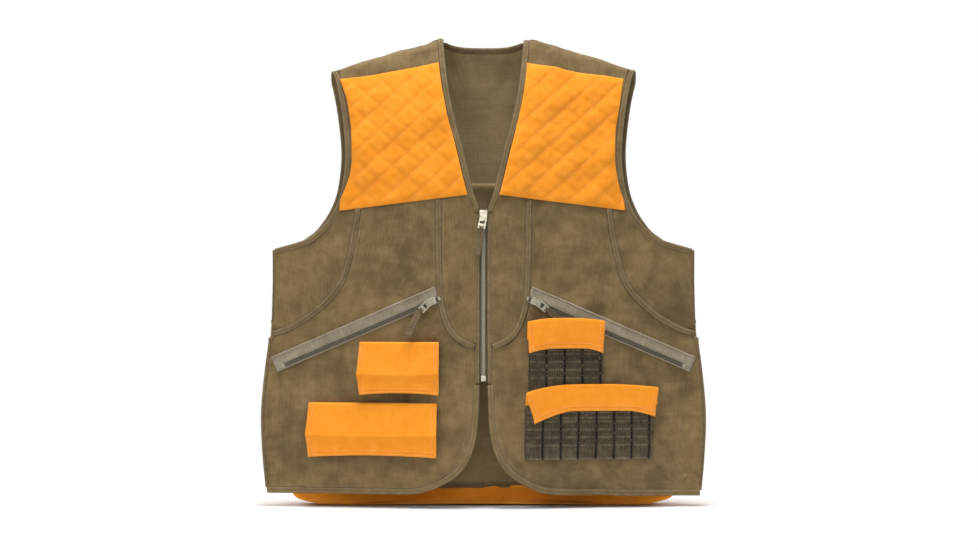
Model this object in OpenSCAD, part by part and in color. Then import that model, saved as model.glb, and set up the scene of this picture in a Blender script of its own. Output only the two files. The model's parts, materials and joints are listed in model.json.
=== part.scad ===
// Upland hunting vest: a canvas shell with quilted shooting patches, slash
// pockets, shell-loop strips under folding flaps, and a game bag behind.
// +Z is up and the front faces -Y. The side seams lie in the plane y = 0.
// Right and left are the wearer's: right is -X.

/* [Shell outline] */
// Half width of the vest at the underarm
half_chest = 296; // [290:1:300]
// Height of the underarm corner
underarm_z = 360; // [350:1:370]
// Half width at the widest place, above the hem
half_hip = 310; // [305:1:314]
// Height of the front hem
hem_z = 20; // [18:1:26]
// Height where the shoulder line meets the neck
neck_z = 652; // [640:1:660]
// Height of the shoulder tip
shoulder_tip_z = 609; // [600:1:615]
// Half width at the shoulder tip
half_shoulder = 209; // [204:1:214]
// Half width of the neck opening at the shoulder line
half_neck = 56.5; // [52:0.5:60]

/* [Shell depth] */
// How far the front stands off the side seams
front_depth = 56; // [50:1:60]
// How far the back stands off the side seams
back_depth = 42; // [36:1:46]
// Distance from the side seam plane to the face of the game bag
bag_reach = 74.5; // [70:0.1:80]
// Thickness of the canvas with its lining
cloth_t = 2; // [1.6:0.1:2.4]

/* [Front zip] */
// Height of the bottom of the zip chain
chain_bottom = 178; // [170:1:184]
// Height of the top of the closed slider
slider_top = 415; // [405:1:418]
// Width of the zip teeth
chain_w = 6; // [5:0.5:7]

/* [Slash pockets] */
// Where the pocket zip starts, from the middle
pocket_x0 = 61; // [60:1:64]
// Where the pocket zip ends, from the middle
pocket_x1 = 291; // [285:1:292]
// Height of the pocket coil at its inner end
pocket_z0 = 292.5; // [290:0.5:294]
// Height of the pocket coil at its outer end
pocket_z1 = 193.5; // [192:0.5:196]

/* [Shell loops] */
// Height of an elastic strip
loop_h = 72; // [68:1:74]

/* [Hidden] */
$fn = 48;

canvas = [0.50, 0.43, 0.31];
orange = [0.96, 0.55, 0.16];
tape = [0.43, 0.37, 0.28];
elastic = [0.34, 0.30, 0.24];
metal = [0.74, 0.70, 0.60];
gap = 0.4;            // clearance between neighbouring pieces
seam_w = 7.5;         // width of a bound seam
edge_w = 8;           // width of an edge binding
bag_t = 2.4;          // thickness of the game bag cloth
flap_t = 2;           // thickness of a flap

// ---- curves -------------------------------------------------------------

// The value at z of a smooth curve given as [z, value] pairs with rising z.
function curve_at(p, z) =
    z <= p[0][0] ? p[0][1] :
    z >= p[len(p) - 1][0] ? p[len(p) - 1][1] :
    let(i = [for (k = [0 : len(p) - 2]) if (p[k][0] <= z && z < p[k + 1][0]) k][0],
        a = p[max(i - 1, 0)], b = p[i], c = p[i + 1], d = p[min(i + 2, len(p) - 1)],
        h = c[0] - b[0], f = (z - b[0]) / h,
        mb = (c[1] - a[1]) / (c[0] - a[0]) * h, mc = (d[1] - b[1]) / (d[0] - b[0]) * h)
    b[1] * (1 + 2 * f) * (1 - f) * (1 - f) + mb * f * (1 - f) * (1 - f)
        + c[1] * f * f * (3 - 2 * f) + mc * f * f * (f - 1);

// Change of that value for each step in z.
function slope_at(p, z) = curve_at(p, z + 0.5) - curve_at(p, z - 0.5);

// Half width at z of a line that runs outside the curve p at distance d.
function beside(p, z, d) = curve_at(p, z) + d * norm([1, slope_at(p, z)]);

// The point [half width, height] at distance d outwards from the curve's point at z.
function out_from(p, z, d) =
    let(k = slope_at(p, z)) [curve_at(p, z), z] + [1, -k] * d / norm([1, k]);

// Half outlines as [height, half width].
side_edge = [[hem_z - 5, half_hip - 7], [60, half_hip - 3], [125, half_hip], [180, half_hip - 4],
    [241, half_chest + 2.5], [300, half_chest], [underarm_z, half_chest]];
armhole = [[underarm_z, half_chest], [371, 255], [395, 222], [430, 202], [470, 194], [507, 193],
    [560, 199], [shoulder_tip_z, half_shoulder]];
neckline = [[434, 12.5], [453, 17.5], [500, 29], [545, 41], [597, 50.5], [neck_z, half_neck]];
cutaway = [[hem_z, 80], [25, 66.5], [45, 35], [71, 19], [105, 10.5], [chain_bottom, 7.2]];
bib_seam = [[228, 8], [233, 22], [242, 36], [258, 47], [282, 54.5], [309, 57], [360, 58.5], [428, 59]];
side_seam = [[238, half_chest + 1], [248, 269], [273, 230], [309, 197], [345, 184], [371, 178],
    [424, 170]];

// Height of the side panel's head as [half width, height].
armhole_foot = [[178, 409], [198, 406], [222, 377.5], [255, 359.4], [half_chest, 351]];

// Height of the shoulder line at half width x; it is slightly convex.
function shoulder(x) =
    let(f = (abs(x) - half_neck) / (half_shoulder - half_neck))
    neck_z + (shoulder_tip_z - neck_z) * f + 9 * f * (1 - f);

// ---- the body surface ---------------------------------------------------

seat_w = [[20, 268], [190, 290], [250, 296], [360, 297]];    // half width where the sides meet
turn_h = 200;         // height over which the cloth turns over the shoulder
crown = 0.22;         // rounds the ridge at the middle

// 1 at the middle falling to 0 at the side seam; nearly flat between.
function across(x, z) =
    let(u = min(1, abs(x) / curve_at(seat_w, z)))
    1 - (sqrt(u * u + crown * crown) - crown) / (sqrt(1 + crown * crown) - crown);

// 1 on the body, falling to 0 at the shoulder line like a quarter circle.
function below_shoulder(x, z) =
    let(t = min(1, max(0, (shoulder(x) - z) / turn_h)))
    sqrt(1 - (1 - t) * (1 - t));

// Depth of the innermost cloth face: negative in front, positive behind.
function front_y(x, z) = -front_depth * across(x, z) * below_shoulder(x, z) - gap / 2;
function back_y(x, z) =
    let(u = min(1, abs(x) / curve_at(seat_w, z)))
    back_depth * (1 - pow(u, 1.8)) * below_shoulder(x, z) + gap / 2;

// Unit vector out of the cloth; it turns from side to up at the shoulder line.
function out_of(x, z, side) =
    let(rise = 1 - min(1, max(0, (shoulder(x) - z) / turn_h)),
        v = [0, side * sqrt(1 - rise * rise) / 38, rise / turn_h])
    v / norm(v);

// A point of the front (side -1) or back (side 1) surface, off from its innermost face.
function on_cloth(x, z, off, side) =
    [x, side < 0 ? front_y(x, z) : back_y(x, z), z] + off * out_of(x, z, side);

// A cloth sheet over the surface. at(u, v) gives [x, z] for u and v from 0 to 1;
// side is -1 for the front and 1 for the back; from and to are the distances of
// its two faces from the innermost one.
module sheet(at, nu, nv, from, to, side) {
    n = (nu + 1) * (nv + 1);
    points = [for (off = [from, to]) for (j = [0 : nv]) for (i = [0 : nu])
        let(q = at(i / nu, j / nv)) on_cloth(q[0], q[1], off, side)];
    function id(i, j) = j * (nu + 1) + i;
    skin = [for (j = [0 : nv - 1]) for (i = [0 : nu - 1]) for (h = [0, 1])
        h == 0 ? [id(i, j), id(i + 1, j), id(i + 1, j + 1)]
            : [id(i, j), id(i + 1, j + 1), id(i, j + 1)]];
    far_skin = [for (f = skin) [f[2] + n, f[1] + n, f[0] + n]];
    function wall(a, b) = [[b, a, a + n], [b, a + n, b + n]];
    walls = [
        for (i = [0 : nu - 1]) each wall(id(i, 0), id(i + 1, 0)),
        for (i = [0 : nu - 1]) each wall(id(i + 1, nv), id(i, nv)),
        for (j = [0 : nv - 1]) each wall(id(0, j + 1), id(0, j)),
        for (j = [0 : nv - 1]) each wall(id(nu, j), id(nu, j + 1))];
    faces = concat(skin, far_skin, walls);
    polyhedron(points, side < 0 ? faces : [for (f = faces) [f[2], f[1], f[0]]]);
}

function mix(a, b, f) = a + (b - a) * f;

// Crowds rows towards the shoulder line, where the surface turns over.
function crowd(v) = 1 - (1 - v) * (1 - v);

// ---- shell --------------------------------------------------------------

patch_foot = 436;     // inner end of the patch's bottom edge
patch_drop = 20.5;    // how much lower its outer end is
function patch_foot_z(x) = patch_foot - patch_drop * (x - 20.4) / 179;
function patch_head_z(x) = shoulder(x) - 29 + 18 * (x - 63) / 136;

// From the foot of the patch to the hem; the bib seam and the front edge
// bound it inwards, the curved side seam and the side edge outwards. Its rows
// lie closest where those edges bend.
bend_foot = 221;
bend_mid = 231;
bend_head = 280;
function under_zip(z) = beside(cutaway, z, edge_w - 2.4);
function bib_edge(z) = z > bend_mid ? beside(bib_seam, z, seam_w + gap)
    : mix(under_zip(bend_foot), beside(bib_seam, bend_mid, seam_w + gap),
        (z - bend_foot) / (bend_mid - bend_foot));
module front_panel() color(canvas)
    sheet(function(u, v)
        let(z = v < 0.4 ? mix(22, bend_foot, pow(v / 0.4, 1.6))
                : v < 0.75 ? mix(bend_foot, bend_head, (v - 0.4) / 0.35)
                : mix(bend_head, mix(421, 412, u), (v - 0.75) / 0.25))
        [mix(z > bend_foot ? bib_edge(z) : under_zip(z),
            z > 238 ? curve_at(side_seam, z) - 2 * gap : curve_at(side_edge, z), u), z],
        10, 40, 0, cloth_t, -1);

module center_panel() color(canvas)
    sheet(function(u, v)
        let(z = mix(229, mix(432, 427.5, u), pow(v, 1.5)))
        [mix(mix(7.2, 12.2, max(0, v - 0.94) / 0.06), curve_at(bib_seam, z) - 2 * gap, u), z],
        4, 12, 0, cloth_t, -1);

// The panel under the arm; its head follows the armhole.
module side_panel() color(canvas)
    sheet(function(u, v)
        let(z = mix(251, curve_at(armhole_foot, mix(178, half_chest, u)), pow(v, 1.4)))
        [mix(beside(side_seam, z, seam_w + 2 * gap), curve_at(side_edge, z), u), z],
        8, 16, 0, cloth_t, -1);

// The canvas from the shoulder line down to the foot of the patch.
module shoulder_panel() color(canvas)
    sheet(function(u, v)
        let(x = mix(half_neck + edge_w + 1, half_shoulder - edge_w, u),
            z = mix(mix(patch_foot + 3, patch_foot_z(199) + 8, u), shoulder(x) - 0.2, crowd(v)))
        [mix(curve_at(neckline, z) + edge_w + 1, curve_at(armhole, z) - edge_w, u), z],
        9, 15, 0, cloth_t, -1);

module shooting_patch() color(orange)
    sheet(function(u, v)
        let(z = mix(mix(patch_foot, patch_foot_z(199), u), mix(patch_head_z(63), patch_head_z(199), u), v))
        [mix(curve_at(neckline, z) + edge_w + 1, curve_at(armhole, max(z, 431)) - edge_w, u), z],
        9, 14, cloth_t + gap, cloth_t + 6, -1);

yoke_seam = 453.6;
back_hem = 30.5;      // foot of the back panel; its binding hangs below
// The back's armhole edge stands a little proud of the front's.
function back_armhole(z) = curve_at(armhole, z) + 7 * min(1, (z - underarm_z) / 40);
function back_neck(x) = neck_z - 8 * (1 - pow(min(1, abs(x) / half_neck), 4));
function yoke_top(x) = abs(x) < half_neck + 4 ? back_neck(x) - edge_w - gap : shoulder(x) - 0.2;

// The yoke spans the back between the armholes and turns over the shoulders.
module back_yoke() color(canvas)
    sheet(function(u, v)
        let(w = half_shoulder - 1.5, z = mix(yoke_seam + 0.3, yoke_top(mix(-w, w, u)), crowd(v)),
            x = back_armhole(min(z, 592) + edge_w) - edge_w - 2 * gap)
        [mix(-x, x, u), z],
        26, 11, 0, cloth_t, 1);

module back_panel() color(canvas)
    sheet(function(u, v)
        let(z = mix(back_hem, yoke_seam - 0.3, v),
            x = z < underarm_z - edge_w ? curve_at(side_edge, z) : back_armhole(z + edge_w) - edge_w)
        [mix(-x, x, u), z],
        20, 24, 0, cloth_t, 1);

// ---- bindings -----------------------------------------------------------

// A tape along points p, each [place, way out of the cloth], with a
// rectangular section: half_w along the cloth and half_t out of it.
module ribbon(p, half_w, half_t) {
    n = len(p);
    function ring(i) =
        let(d = p[min(i + 1, n - 1)][0] - p[max(i - 1, 0)][0],
            c = cross(p[i][1], d), w = c / norm(c) * half_w, t = p[i][1] * half_t)
        [p[i][0] - w - t, p[i][0] + w - t, p[i][0] + w + t, p[i][0] - w + t];
    walls = [for (i = [0 : n - 2]) for (k = [0 : 3])
        let(a = 4 * i + k, b = 4 * i + (k + 1) % 4, c = b + 4, d = a + 4)
        each [[a, c, b], [a, d, c]]];
    polyhedron([for (i = [0 : n - 1]) each ring(i)],
        concat(walls, [[0, 1, 2], [0, 2, 3], [4 * n - 4, 4 * n - 2, 4 * n - 3],
            [4 * n - 4, 4 * n - 1, 4 * n - 2]]));
}

mid = cloth_t / 2;    // from the innermost face to the middle of the cloth
function on_front(x, z, off = mid) = [on_cloth(x, z, off, -1), out_of(x, z, -1)];
function on_back(x, z, off = mid) = [on_cloth(x, z, off, 1), out_of(x, z, 1)];
function steps(n) = [for (i = [0 : n]) i / n];

module bib_seam() color(tape)
    ribbon([for (t = steps(20)) let(q = out_from(bib_seam, mix(231, 427, pow(t, 1.5)), seam_w / 2))
        on_front(q[0], q[1], mid + 0.2)], seam_w / 2 - gap, 1.2);

module side_seam() color(tape)
    ribbon([for (t = steps(20)) let(q = out_from(side_seam, mix(241, 408, pow(t, 1.5)), seam_w / 2))
        on_front(q[0], q[1], mid + 0.2)], seam_w / 2 - gap, 1.2);

// The neck binding runs up the V, over the shoulder, round behind the neck
// and down the other side.
module neck_binding() color(tape) {
    rise = [for (t = steps(12)) let(z = mix(437, neck_z - 1.6, crowd(t)))
        on_front(curve_at(neckline, z) + edge_w / 2, z)];
    crest = [[half_neck + edge_w / 2, 0, neck_z + 0.6], [0, 0, 1]];
    behind = [for (x = [half_neck + 3, half_neck - 2, 48, 36, 24, 12, 0])
        on_back(x, min(back_neck(x) - edge_w / 2, neck_z - 2.4))];
    half = concat(rise, [crest], behind);
    ribbon(concat(half, [for (i = [len(half) - 2 : -1 : 0])
        [for (q = half[i]) [-q[0], q[1], q[2]]]]), edge_w / 2 - 0.2, 0.9);
}

// Front and back tapes of one armhole, set in from its edge by half a width.
function arm_edge(z, side) = side < 0 ? curve_at(armhole, z) : back_armhole(z);
module armhole_binding() color(tape)
    for (side = [-1, 1])
        ribbon([for (t = steps(20))
            let(z = mix(underarm_z + 1, shoulder_tip_z - 1, t),
                d = [arm_edge(z + 1, side) - arm_edge(z - 1, side), 2],
                q = [arm_edge(z, side), z] + [-d[1], d[0]] / norm(d) * (edge_w / 2 - 0.8))
            [on_cloth(q[0], min(q[1], shoulder(q[0]) - 0.4), mid, side), out_of(q[0], q[1], side)]],
            edge_w / 2 - 0.4, 0.9);

// The front edge below the zip and the hem, and half of the back hem.
module hem_binding() color(tape) {
    edge = [for (t = steps(10))
        let(q = out_from(cutaway, mix(chain_bottom - 3, 24, t * (2 - t)), 1)) on_front(q[0], q[1])];
    hem = [for (t = steps(6)) on_front(mix(92, half_hip - 8, t), hem_z - 3.2)];
    ribbon(concat(edge, hem), edge_w / 2 - 0.4, 1);
    ribbon([for (t = steps(6)) on_back(mix(0.3, half_hip - 8, t), back_hem - edge_w / 2 - 0.2)],
        edge_w / 2 - 0.3, 1);
}

// ---- game bag -----------------------------------------------------------

bag_floor = 0.2;
bag_top = 335;
bag_half = [[bag_floor, 222], [4, 240], [10, 262], [18, 272], [60, 277], [130, 279], [220, 274],
    [300, 262], [bag_top, 254]];

module bag_outline(inset, top)
    polygon(concat(
        [for (z = [bag_floor, 2, 4, 7, 11, 18, 40, 90, 150, 210, 270, top])
            [curve_at(bag_half, z) - inset, max(z, bag_floor + inset)]],
        [for (z = [top, 270, 210, 150, 90, 40, 18, 11, 7, 4, 2, bag_floor])
            [inset - curve_at(bag_half, z), max(z, bag_floor + inset)]]));

// Upright plate of a given outline, from y = back forwards.
module upright(back, t) translate([0, back, 0]) rotate([90, 0, 0]) linear_extrude(t) children();

// The wall leans towards the back, so the bag is deepest at its foot.
bag_lean = 4;
module leaning() translate([0, bag_reach, bag_floor]) rotate([bag_lean, 0, 0])
    translate([0, -bag_reach, -bag_floor]) children();

module game_bag_wall() color(orange) leaning() upright(bag_reach, bag_t) bag_outline(0, bag_top);

gusset_y = 16;        // where the gusset meets the back
module game_bag_gusset() color(orange) difference() {
    upright(bag_reach - gap, bag_reach - gap - gusset_y) difference() {
        bag_outline(0.6, bag_top - 15);
        bag_outline(0.6 + bag_t, bag_top);
    }
    leaning() translate([-half_hip, bag_reach - bag_t - gap, -50])
        cube([2 * half_hip, 60, 2 * bag_top]);
}

// The bag's front, which hangs below the back hem.
module game_bag_apron() color(orange)
    sheet(function(u, v)
        let(z = mix(3.6, back_hem - edge_w - 1, v), x = curve_at(bag_half, z) - 4) [mix(-x, x, u), z],
        20, 3, 0, cloth_t, 1);

module game_bag_binding() color(tape) leaning()
    upright(bag_reach, 3.2) translate([-252, bag_top + gap]) square([504, edge_w]);

// ---- zips ---------------------------------------------------------------

// Parts of one slider, its pull and its cloth tab. The chain runs along Z
// through the origin, the slider closes towards +Z and the front is -Y. The
// face of the cloth that the slider rides on lies at y = 0.
slider_h = 15;        // length of a slider
bar_y = -5.4;         // depth of the bar that the pull hangs from
bar_z = -9;           // its height below the slider's top
bar_r = 0.8;
pull_len = 16;        // from the top bar to the bar that holds the tab
window_w = 7;         // opening in the pull, wider than the slider's bridge

module along_x(w, r) rotate([0, 90, 0]) cylinder(h = w, r = r, center = true);

module slider() color(metal) {
    upright(-1.9, 2.2) polygon([[-5.4, -1.5], [-4.2, 0], [4.2, 0], [5.4, -1.5], [4.6, -slider_h],
        [-4.6, -slider_h]]);
    for (s = [-1, 1]) translate([s * 4.2 - 0.8, -2, -slider_h]) cube([1.6, 1.6, slider_h - 1.5]);
    for (z = [-4.2, -slider_h + 1]) translate([-1.2, -8, z]) cube([2.4, 4, 1.6]);
    translate([-1.2, -8.2, -slider_h + 1]) cube([2.4, 1.8, slider_h - 3.6]);
}

// The pull: two rails, the bar in the bridge and the bar that holds the tab.
module pull(bottom_w) color(metal) translate([0, bar_y, bar_z]) {
    along_x(window_w + 2, bar_r);
    translate([0, 0, -pull_len]) along_x(bottom_w, bar_r);
    for (s = [-1, 1])
        translate([s * (window_w / 2 + 0.8) - 0.8, -0.8, -pull_len - 1])
            cube([1.6, 1.6, pull_len + 2]);
    translate([-window_w / 2, -0.8, -pull_len + 2.4]) cube([window_w, 1.6, 3.6]);
}

// The cloth tab: a loop round the pull's bar, a strip and an end bar.
module tab(w, h, lean, skew) color(tape) translate([0, bar_y, bar_z - pull_len]) rotate([-lean, 0, 0]) {
    difference() {
        union() {
            along_x(5, 1.9);
            translate([-2.5, -0.8, -5]) cube([5, 1.6, 4]);
        }
        along_x(6, 1.2);
    }
    translate([0, 0, -4.2]) rotate([0, skew, 0]) upright(0.8, 1.6)
        polygon([[-w / 2, -0.8], [w / 2, -0.8], [w / 2, -h + 3], [w / 2 + 1.1, -h + 3],
            [w / 2 + 1.1, -h], [-w / 2 - 1.1, -h], [-w / 2 - 1.1, -h + 3], [-w / 2, -h + 3]]);
}

// Front zip. The groove between the front edges holds the teeth.
groove_y = front_y(0, chain_bottom);
module zip_tape() color(tape)
    translate([chain_w / 2 + gap, groove_y + gap, chain_bottom])
        cube([8, 1, slider_top + 12 - chain_bottom]);
module zip_chain() color(metal)
    translate([-chain_w / 2, groove_y - cloth_t, chain_bottom + 8])
        cube([chain_w, cloth_t + 0.6, slider_top - 2 - chain_bottom - 8]);
module zip_box() color(metal)
    translate([-3.2, groove_y - cloth_t - 0.6, chain_bottom]) cube([6.4, cloth_t + 1.4, 7.4]);

main_tilt = 10;       // the pull hangs a little to one side
module at_main() translate([0, groove_y - cloth_t, slider_top]) children();
module tilted() translate([0, 0, bar_z]) rotate([0, main_tilt, 0]) translate([0, 0, -bar_z]) children();
module main_slider() at_main() slider();
module main_pull() at_main() tilted() pull(window_w);
module main_tab() at_main() tilted() tab(8.8, 34, 1, 0);

// Slash pocket zip: a straight line in front of the cloth.
zip_lift = 3.2;
pocket_y0 = front_y(pocket_x0, pocket_z0) - cloth_t - zip_lift;
pocket_y1 = front_y(pocket_x1, pocket_z1) - cloth_t - zip_lift;
pocket_plan = norm([pocket_x1 - pocket_x0, pocket_y1 - pocket_y0]);
pocket_turn = atan2(pocket_y1 - pocket_y0, pocket_x1 - pocket_x0);
pocket_slope = atan2(pocket_z0 - pocket_z1, pocket_plan);
pocket_len = norm([pocket_plan, pocket_z0 - pocket_z1]);
slider_start = 5;     // the closed slider's distance from the zip's inner end

module at_pocket(down = 0) translate([pocket_x0, pocket_y0, pocket_z0])
    rotate([0, 0, pocket_turn]) rotate([0, pocket_slope - 90, 0]) translate([0, 0, -down]) children();

module pocket_tape() color([0.65, 0.62, 0.55])
    at_pocket() translate([-5, -0.45, -pocket_len]) cube([23, 0.9, pocket_len]);
module pocket_coil() color(tape)
    at_pocket() translate([-2, -1.7, -pocket_len + 14]) cube([4, 1.1, pocket_len - 16]);
module pocket_stops() color(metal)
    at_pocket() for (z = [-1.6, -pocket_len + 10]) translate([-2.6, -1.9, z]) cube([5.2, 1.3, 3]);
module pocket_slider() at_pocket(slider_start) translate([0, -0.5, 0]) slider();
module pocket_hang(a) at_pocket(slider_start) translate([0, -0.5, bar_z]) rotate([0, a, 0])
    translate([0, 0, -bar_z]) children();

module pocket_bag() color(canvas)
    sheet(function(u, v) [mix(mix(76, 66, v), mix(252, 262, v), u), mix(36, 206, v)],
        8, 6, -3, -0.8, -1);

// ---- shell loops --------------------------------------------------------

// A strip of elastic sewn into loops, from half width x0 to x1 with its foot
// at height z; the cloth between two rows of stitching stands proud.
module loops(x0, x1, z) color(elastic)
    sheet(function(u, v) [mix(x0, x1, u), z + loop_h * v], 8, 4, cloth_t + gap, cloth_t + 3.4, -1);

// ---- flaps --------------------------------------------------------------

// [x0, x1, seam height, seam stand-off, inner length, angle, outer length, tuck, arch]
// The angle is that of the inner part, from straight down outwards; the arch
// is how far the middle of the foot rises above its corners.
right_upper = [61, 176, 231, 7, 44, 8, 30, 8, 3];
right_lower = [64, 248, 146, 7, 44, 8, 32, 8, 3];
left_upper = [60, 168, 236, 13, 27, 172, 44, -2, 3];
left_lower = [58, 243, 145, 7.4, 26, 171, 43, -2, 7];

function seam_y(f, x) = front_y(x, f[2]) - cloth_t - f[3];
function flap_turn(f) = atan2(seam_y(f, f[1]) - seam_y(f, f[0]), f[1] - f[0]);
function flap_w(f) = (f[1] - f[0]) / cos(flap_turn(f));

module at_flap(f) translate([f[0], seam_y(f, f[0]), f[2]]) rotate([0, 0, flap_turn(f)]) children();

// Outline of a flap part from its top edge down; the foot arches up a little.
module flap_outline(w, h, arch) polygon(concat([[0, 0], [w, 0]],
    [for (i = [0 : 8]) let(f = i / 8) [w * (1 - f), -h + arch * 4 * f * (1 - f)]]));

// The part from the seam to the crease.
module flap_inner(f) color(orange) at_flap(f) rotate([-f[5], 0, 0])
    translate([0, 0, -0.6]) upright(flap_t / 2, flap_t)
        flap_outline(flap_w(f), f[4] - 1.2, 0);

// The part beyond the crease; it hangs just in front of the crease line.
crease_step = flap_t / 2 + 0.8;
module flap_outer(f) color(orange) at_flap(f)
    translate([0, -f[4] * sin(f[5]), -f[4] * cos(f[5])]) rotate([f[7], 0, 0])
        translate([0, 0, 0.8]) upright(-crease_step, flap_t)
            flap_outline(flap_w(f), f[6], f[8]);

module hem_rivet() color(metal)
    translate([283, front_y(283, 44) - cloth_t - 0.2, 44]) rotate([90, 0, 0]) {
        cylinder(h = 1.2, r = 3);
        translate([0, 0, 1]) cylinder(h = 1, r = 1.7);
    }

// ---- the vest -----------------------------------------------------------

module right() mirror([1, 0, 0]) children();

right() front_panel();  // right_front_panel
front_panel();  // left_front_panel
right() center_panel();  // right_center_panel
center_panel();  // left_center_panel
right() side_panel();  // right_side_panel
side_panel();  // left_side_panel
right() shoulder_panel();  // right_shoulder_panel
shoulder_panel();  // left_shoulder_panel
right() shooting_patch();  // right_shooting_patch
shooting_patch();  // left_shooting_patch
back_yoke();
back_panel();
neck_binding();
right() armhole_binding();  // right_armhole_binding
armhole_binding();  // left_armhole_binding
right() hem_binding();  // right_hem_binding
hem_binding();  // left_hem_binding
right() bib_seam();  // right_bib_seam
bib_seam();  // left_bib_seam
right() side_seam();  // right_side_seam
side_seam();  // left_side_seam
game_bag_wall();
game_bag_gusset();
game_bag_apron();
game_bag_binding();
right() pocket_bag();  // right_pocket_bag
pocket_bag();  // left_pocket_bag
right() pocket_tape();  // right_pocket_tape
pocket_tape();  // left_pocket_tape
right() pocket_coil();  // right_pocket_coil
pocket_coil();  // left_pocket_coil
right() pocket_stops();  // right_pocket_stops
pocket_stops();  // left_pocket_stops
right() pocket_slider();  // right_pocket_slider
pocket_slider();  // left_pocket_slider
right() pocket_hang(20) pull(window_w);  // right_pocket_pull
pocket_hang(14) pull(window_w);  // left_pocket_pull
right() pocket_hang(20) tab(8.8, 36, 7, 22);  // right_pocket_tab
pocket_hang(14) tab(8.8, 30, 0, 0);  // left_pocket_tab
right() zip_tape();  // right_zip_tape
zip_tape();  // left_zip_tape
zip_chain();
zip_box();
main_slider();
main_pull();
main_tab();
right() loops(63, 169, 157);  // right_upper_loops
right() loops(66, 244, 70);  // right_lower_loops
loops(63, 167, 162);  // left_upper_loops
loops(58, 236, 68);  // left_lower_loops
right() flap_inner(right_upper);  // right_upper_flap
right() flap_outer(right_upper);  // right_upper_flap_end
right() flap_inner(right_lower);  // right_lower_flap
right() flap_outer(right_lower);  // right_lower_flap_end
flap_inner(left_upper);  // left_upper_flap
flap_outer(left_upper);  // left_upper_flap_end
flap_inner(left_lower);  // left_lower_flap
flap_outer(left_lower);  // left_lower_flap_end
hem_rivet();
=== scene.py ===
"""The looks of an upland hunting vest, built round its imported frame.

Cloth pieces are rebuilt from the frame's own sheets: each sheet is read as a
grid of points, made finer on a smooth curve, settled as cloth and given its
thickness, seams and stitching. Lengths are in metres.
"""
import json
import math

import bmesh
import bpy
import numpy as np
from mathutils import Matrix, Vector
from mathutils.bvhtree import BVHTree


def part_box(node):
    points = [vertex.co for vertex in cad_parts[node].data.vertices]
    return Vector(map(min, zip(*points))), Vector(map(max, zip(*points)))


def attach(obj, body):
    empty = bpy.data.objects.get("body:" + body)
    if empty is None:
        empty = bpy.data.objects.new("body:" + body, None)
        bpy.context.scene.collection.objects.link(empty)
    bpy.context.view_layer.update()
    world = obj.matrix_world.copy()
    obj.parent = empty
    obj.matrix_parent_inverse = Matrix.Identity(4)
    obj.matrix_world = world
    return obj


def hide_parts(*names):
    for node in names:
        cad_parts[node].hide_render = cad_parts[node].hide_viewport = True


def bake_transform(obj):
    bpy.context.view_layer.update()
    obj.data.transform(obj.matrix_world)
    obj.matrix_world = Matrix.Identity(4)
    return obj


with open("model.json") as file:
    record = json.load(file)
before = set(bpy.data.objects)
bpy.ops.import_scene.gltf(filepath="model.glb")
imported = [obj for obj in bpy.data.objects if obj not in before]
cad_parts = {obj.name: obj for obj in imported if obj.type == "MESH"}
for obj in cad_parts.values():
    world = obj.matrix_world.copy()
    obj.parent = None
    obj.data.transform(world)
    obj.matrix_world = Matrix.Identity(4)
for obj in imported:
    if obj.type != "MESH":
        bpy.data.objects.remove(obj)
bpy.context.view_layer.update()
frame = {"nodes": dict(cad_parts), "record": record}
MM = 0.001
FRONT, BACK = np.array([0.0, -1.0, 0.25]), np.array([0.0, 1.0, 0.25])


# ---- reading the frame's sheets ---------------------------------------------


def unit(v):
    """The vectors v at length one."""
    return v / np.maximum(np.linalg.norm(v, axis=-1, keepdims=True), 1e-12)


def corners(node):
    """The vertices of a CAD node as an array."""
    return np.array([v.co for v in frame["nodes"][node].data.vertices])


def skins(node, sharp=50):
    """The node's surface as welded points and its smooth patches, cut at its
    sharp edges: (points, [list of triangles], [area-weighted normal])."""
    mesh = frame["nodes"][node].data
    mesh.calc_loop_triangles()
    co = corners(node)
    _, first, index = np.unique(np.round(co / MM, 3), axis=0, return_index=True, return_inverse=True)
    index = index.reshape(-1)
    points = co[first]
    tris = np.array([[index[i] for i in t.vertices] for t in mesh.loop_triangles])
    tris = tris[(tris[:, 0] != tris[:, 1]) & (tris[:, 1] != tris[:, 2]) & (tris[:, 0] != tris[:, 2])]
    a, b, c = (points[tris[:, k]] for k in range(3))
    cross = np.cross(b - a, c - a)
    normal = unit(cross)
    sides = {}
    for f, t in enumerate(tris):
        for k in range(3):
            sides.setdefault(frozenset((t[k], t[(k + 1) % 3])), []).append(f)
    near = [[] for _ in tris]
    for pair in sides.values():
        if len(pair) == 2 and normal[pair[0]] @ normal[pair[1]] > math.cos(math.radians(sharp)):
            near[pair[0]].append(pair[1])
            near[pair[1]].append(pair[0])
    seen, patches, normals = set(), [], []
    for f in range(len(tris)):
        if f in seen:
            continue
        seen.add(f)
        group, todo = [], [f]
        while todo:
            g = todo.pop()
            group.append(g)
            for h in near[g]:
                if h not in seen:
                    seen.add(h)
                    todo.append(h)
        patches.append(tris[group])
        normals.append(cross[group].sum(axis=0))
    return points, patches, normals


def rim_loop(tris):
    """The outline of a patch of triangles, as point numbers in order."""
    edges = {}
    for t in tris:
        for k in range(3):
            e = frozenset((int(t[k]), int(t[(k + 1) % 3])))
            edges[e] = edges.get(e, 0) + 1
    rim = {}
    for e, n in edges.items():
        if n == 1:
            a, b = tuple(e)
            rim.setdefault(a, []).append(b)
            rim.setdefault(b, []).append(a)
    loop, last = [min(rim)], None
    while True:
        here = loop[-1]
        ahead = [v for v in rim[here] if v != last][0]
        last = here
        if ahead == loop[0]:
            return loop
        loop.append(ahead)


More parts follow.
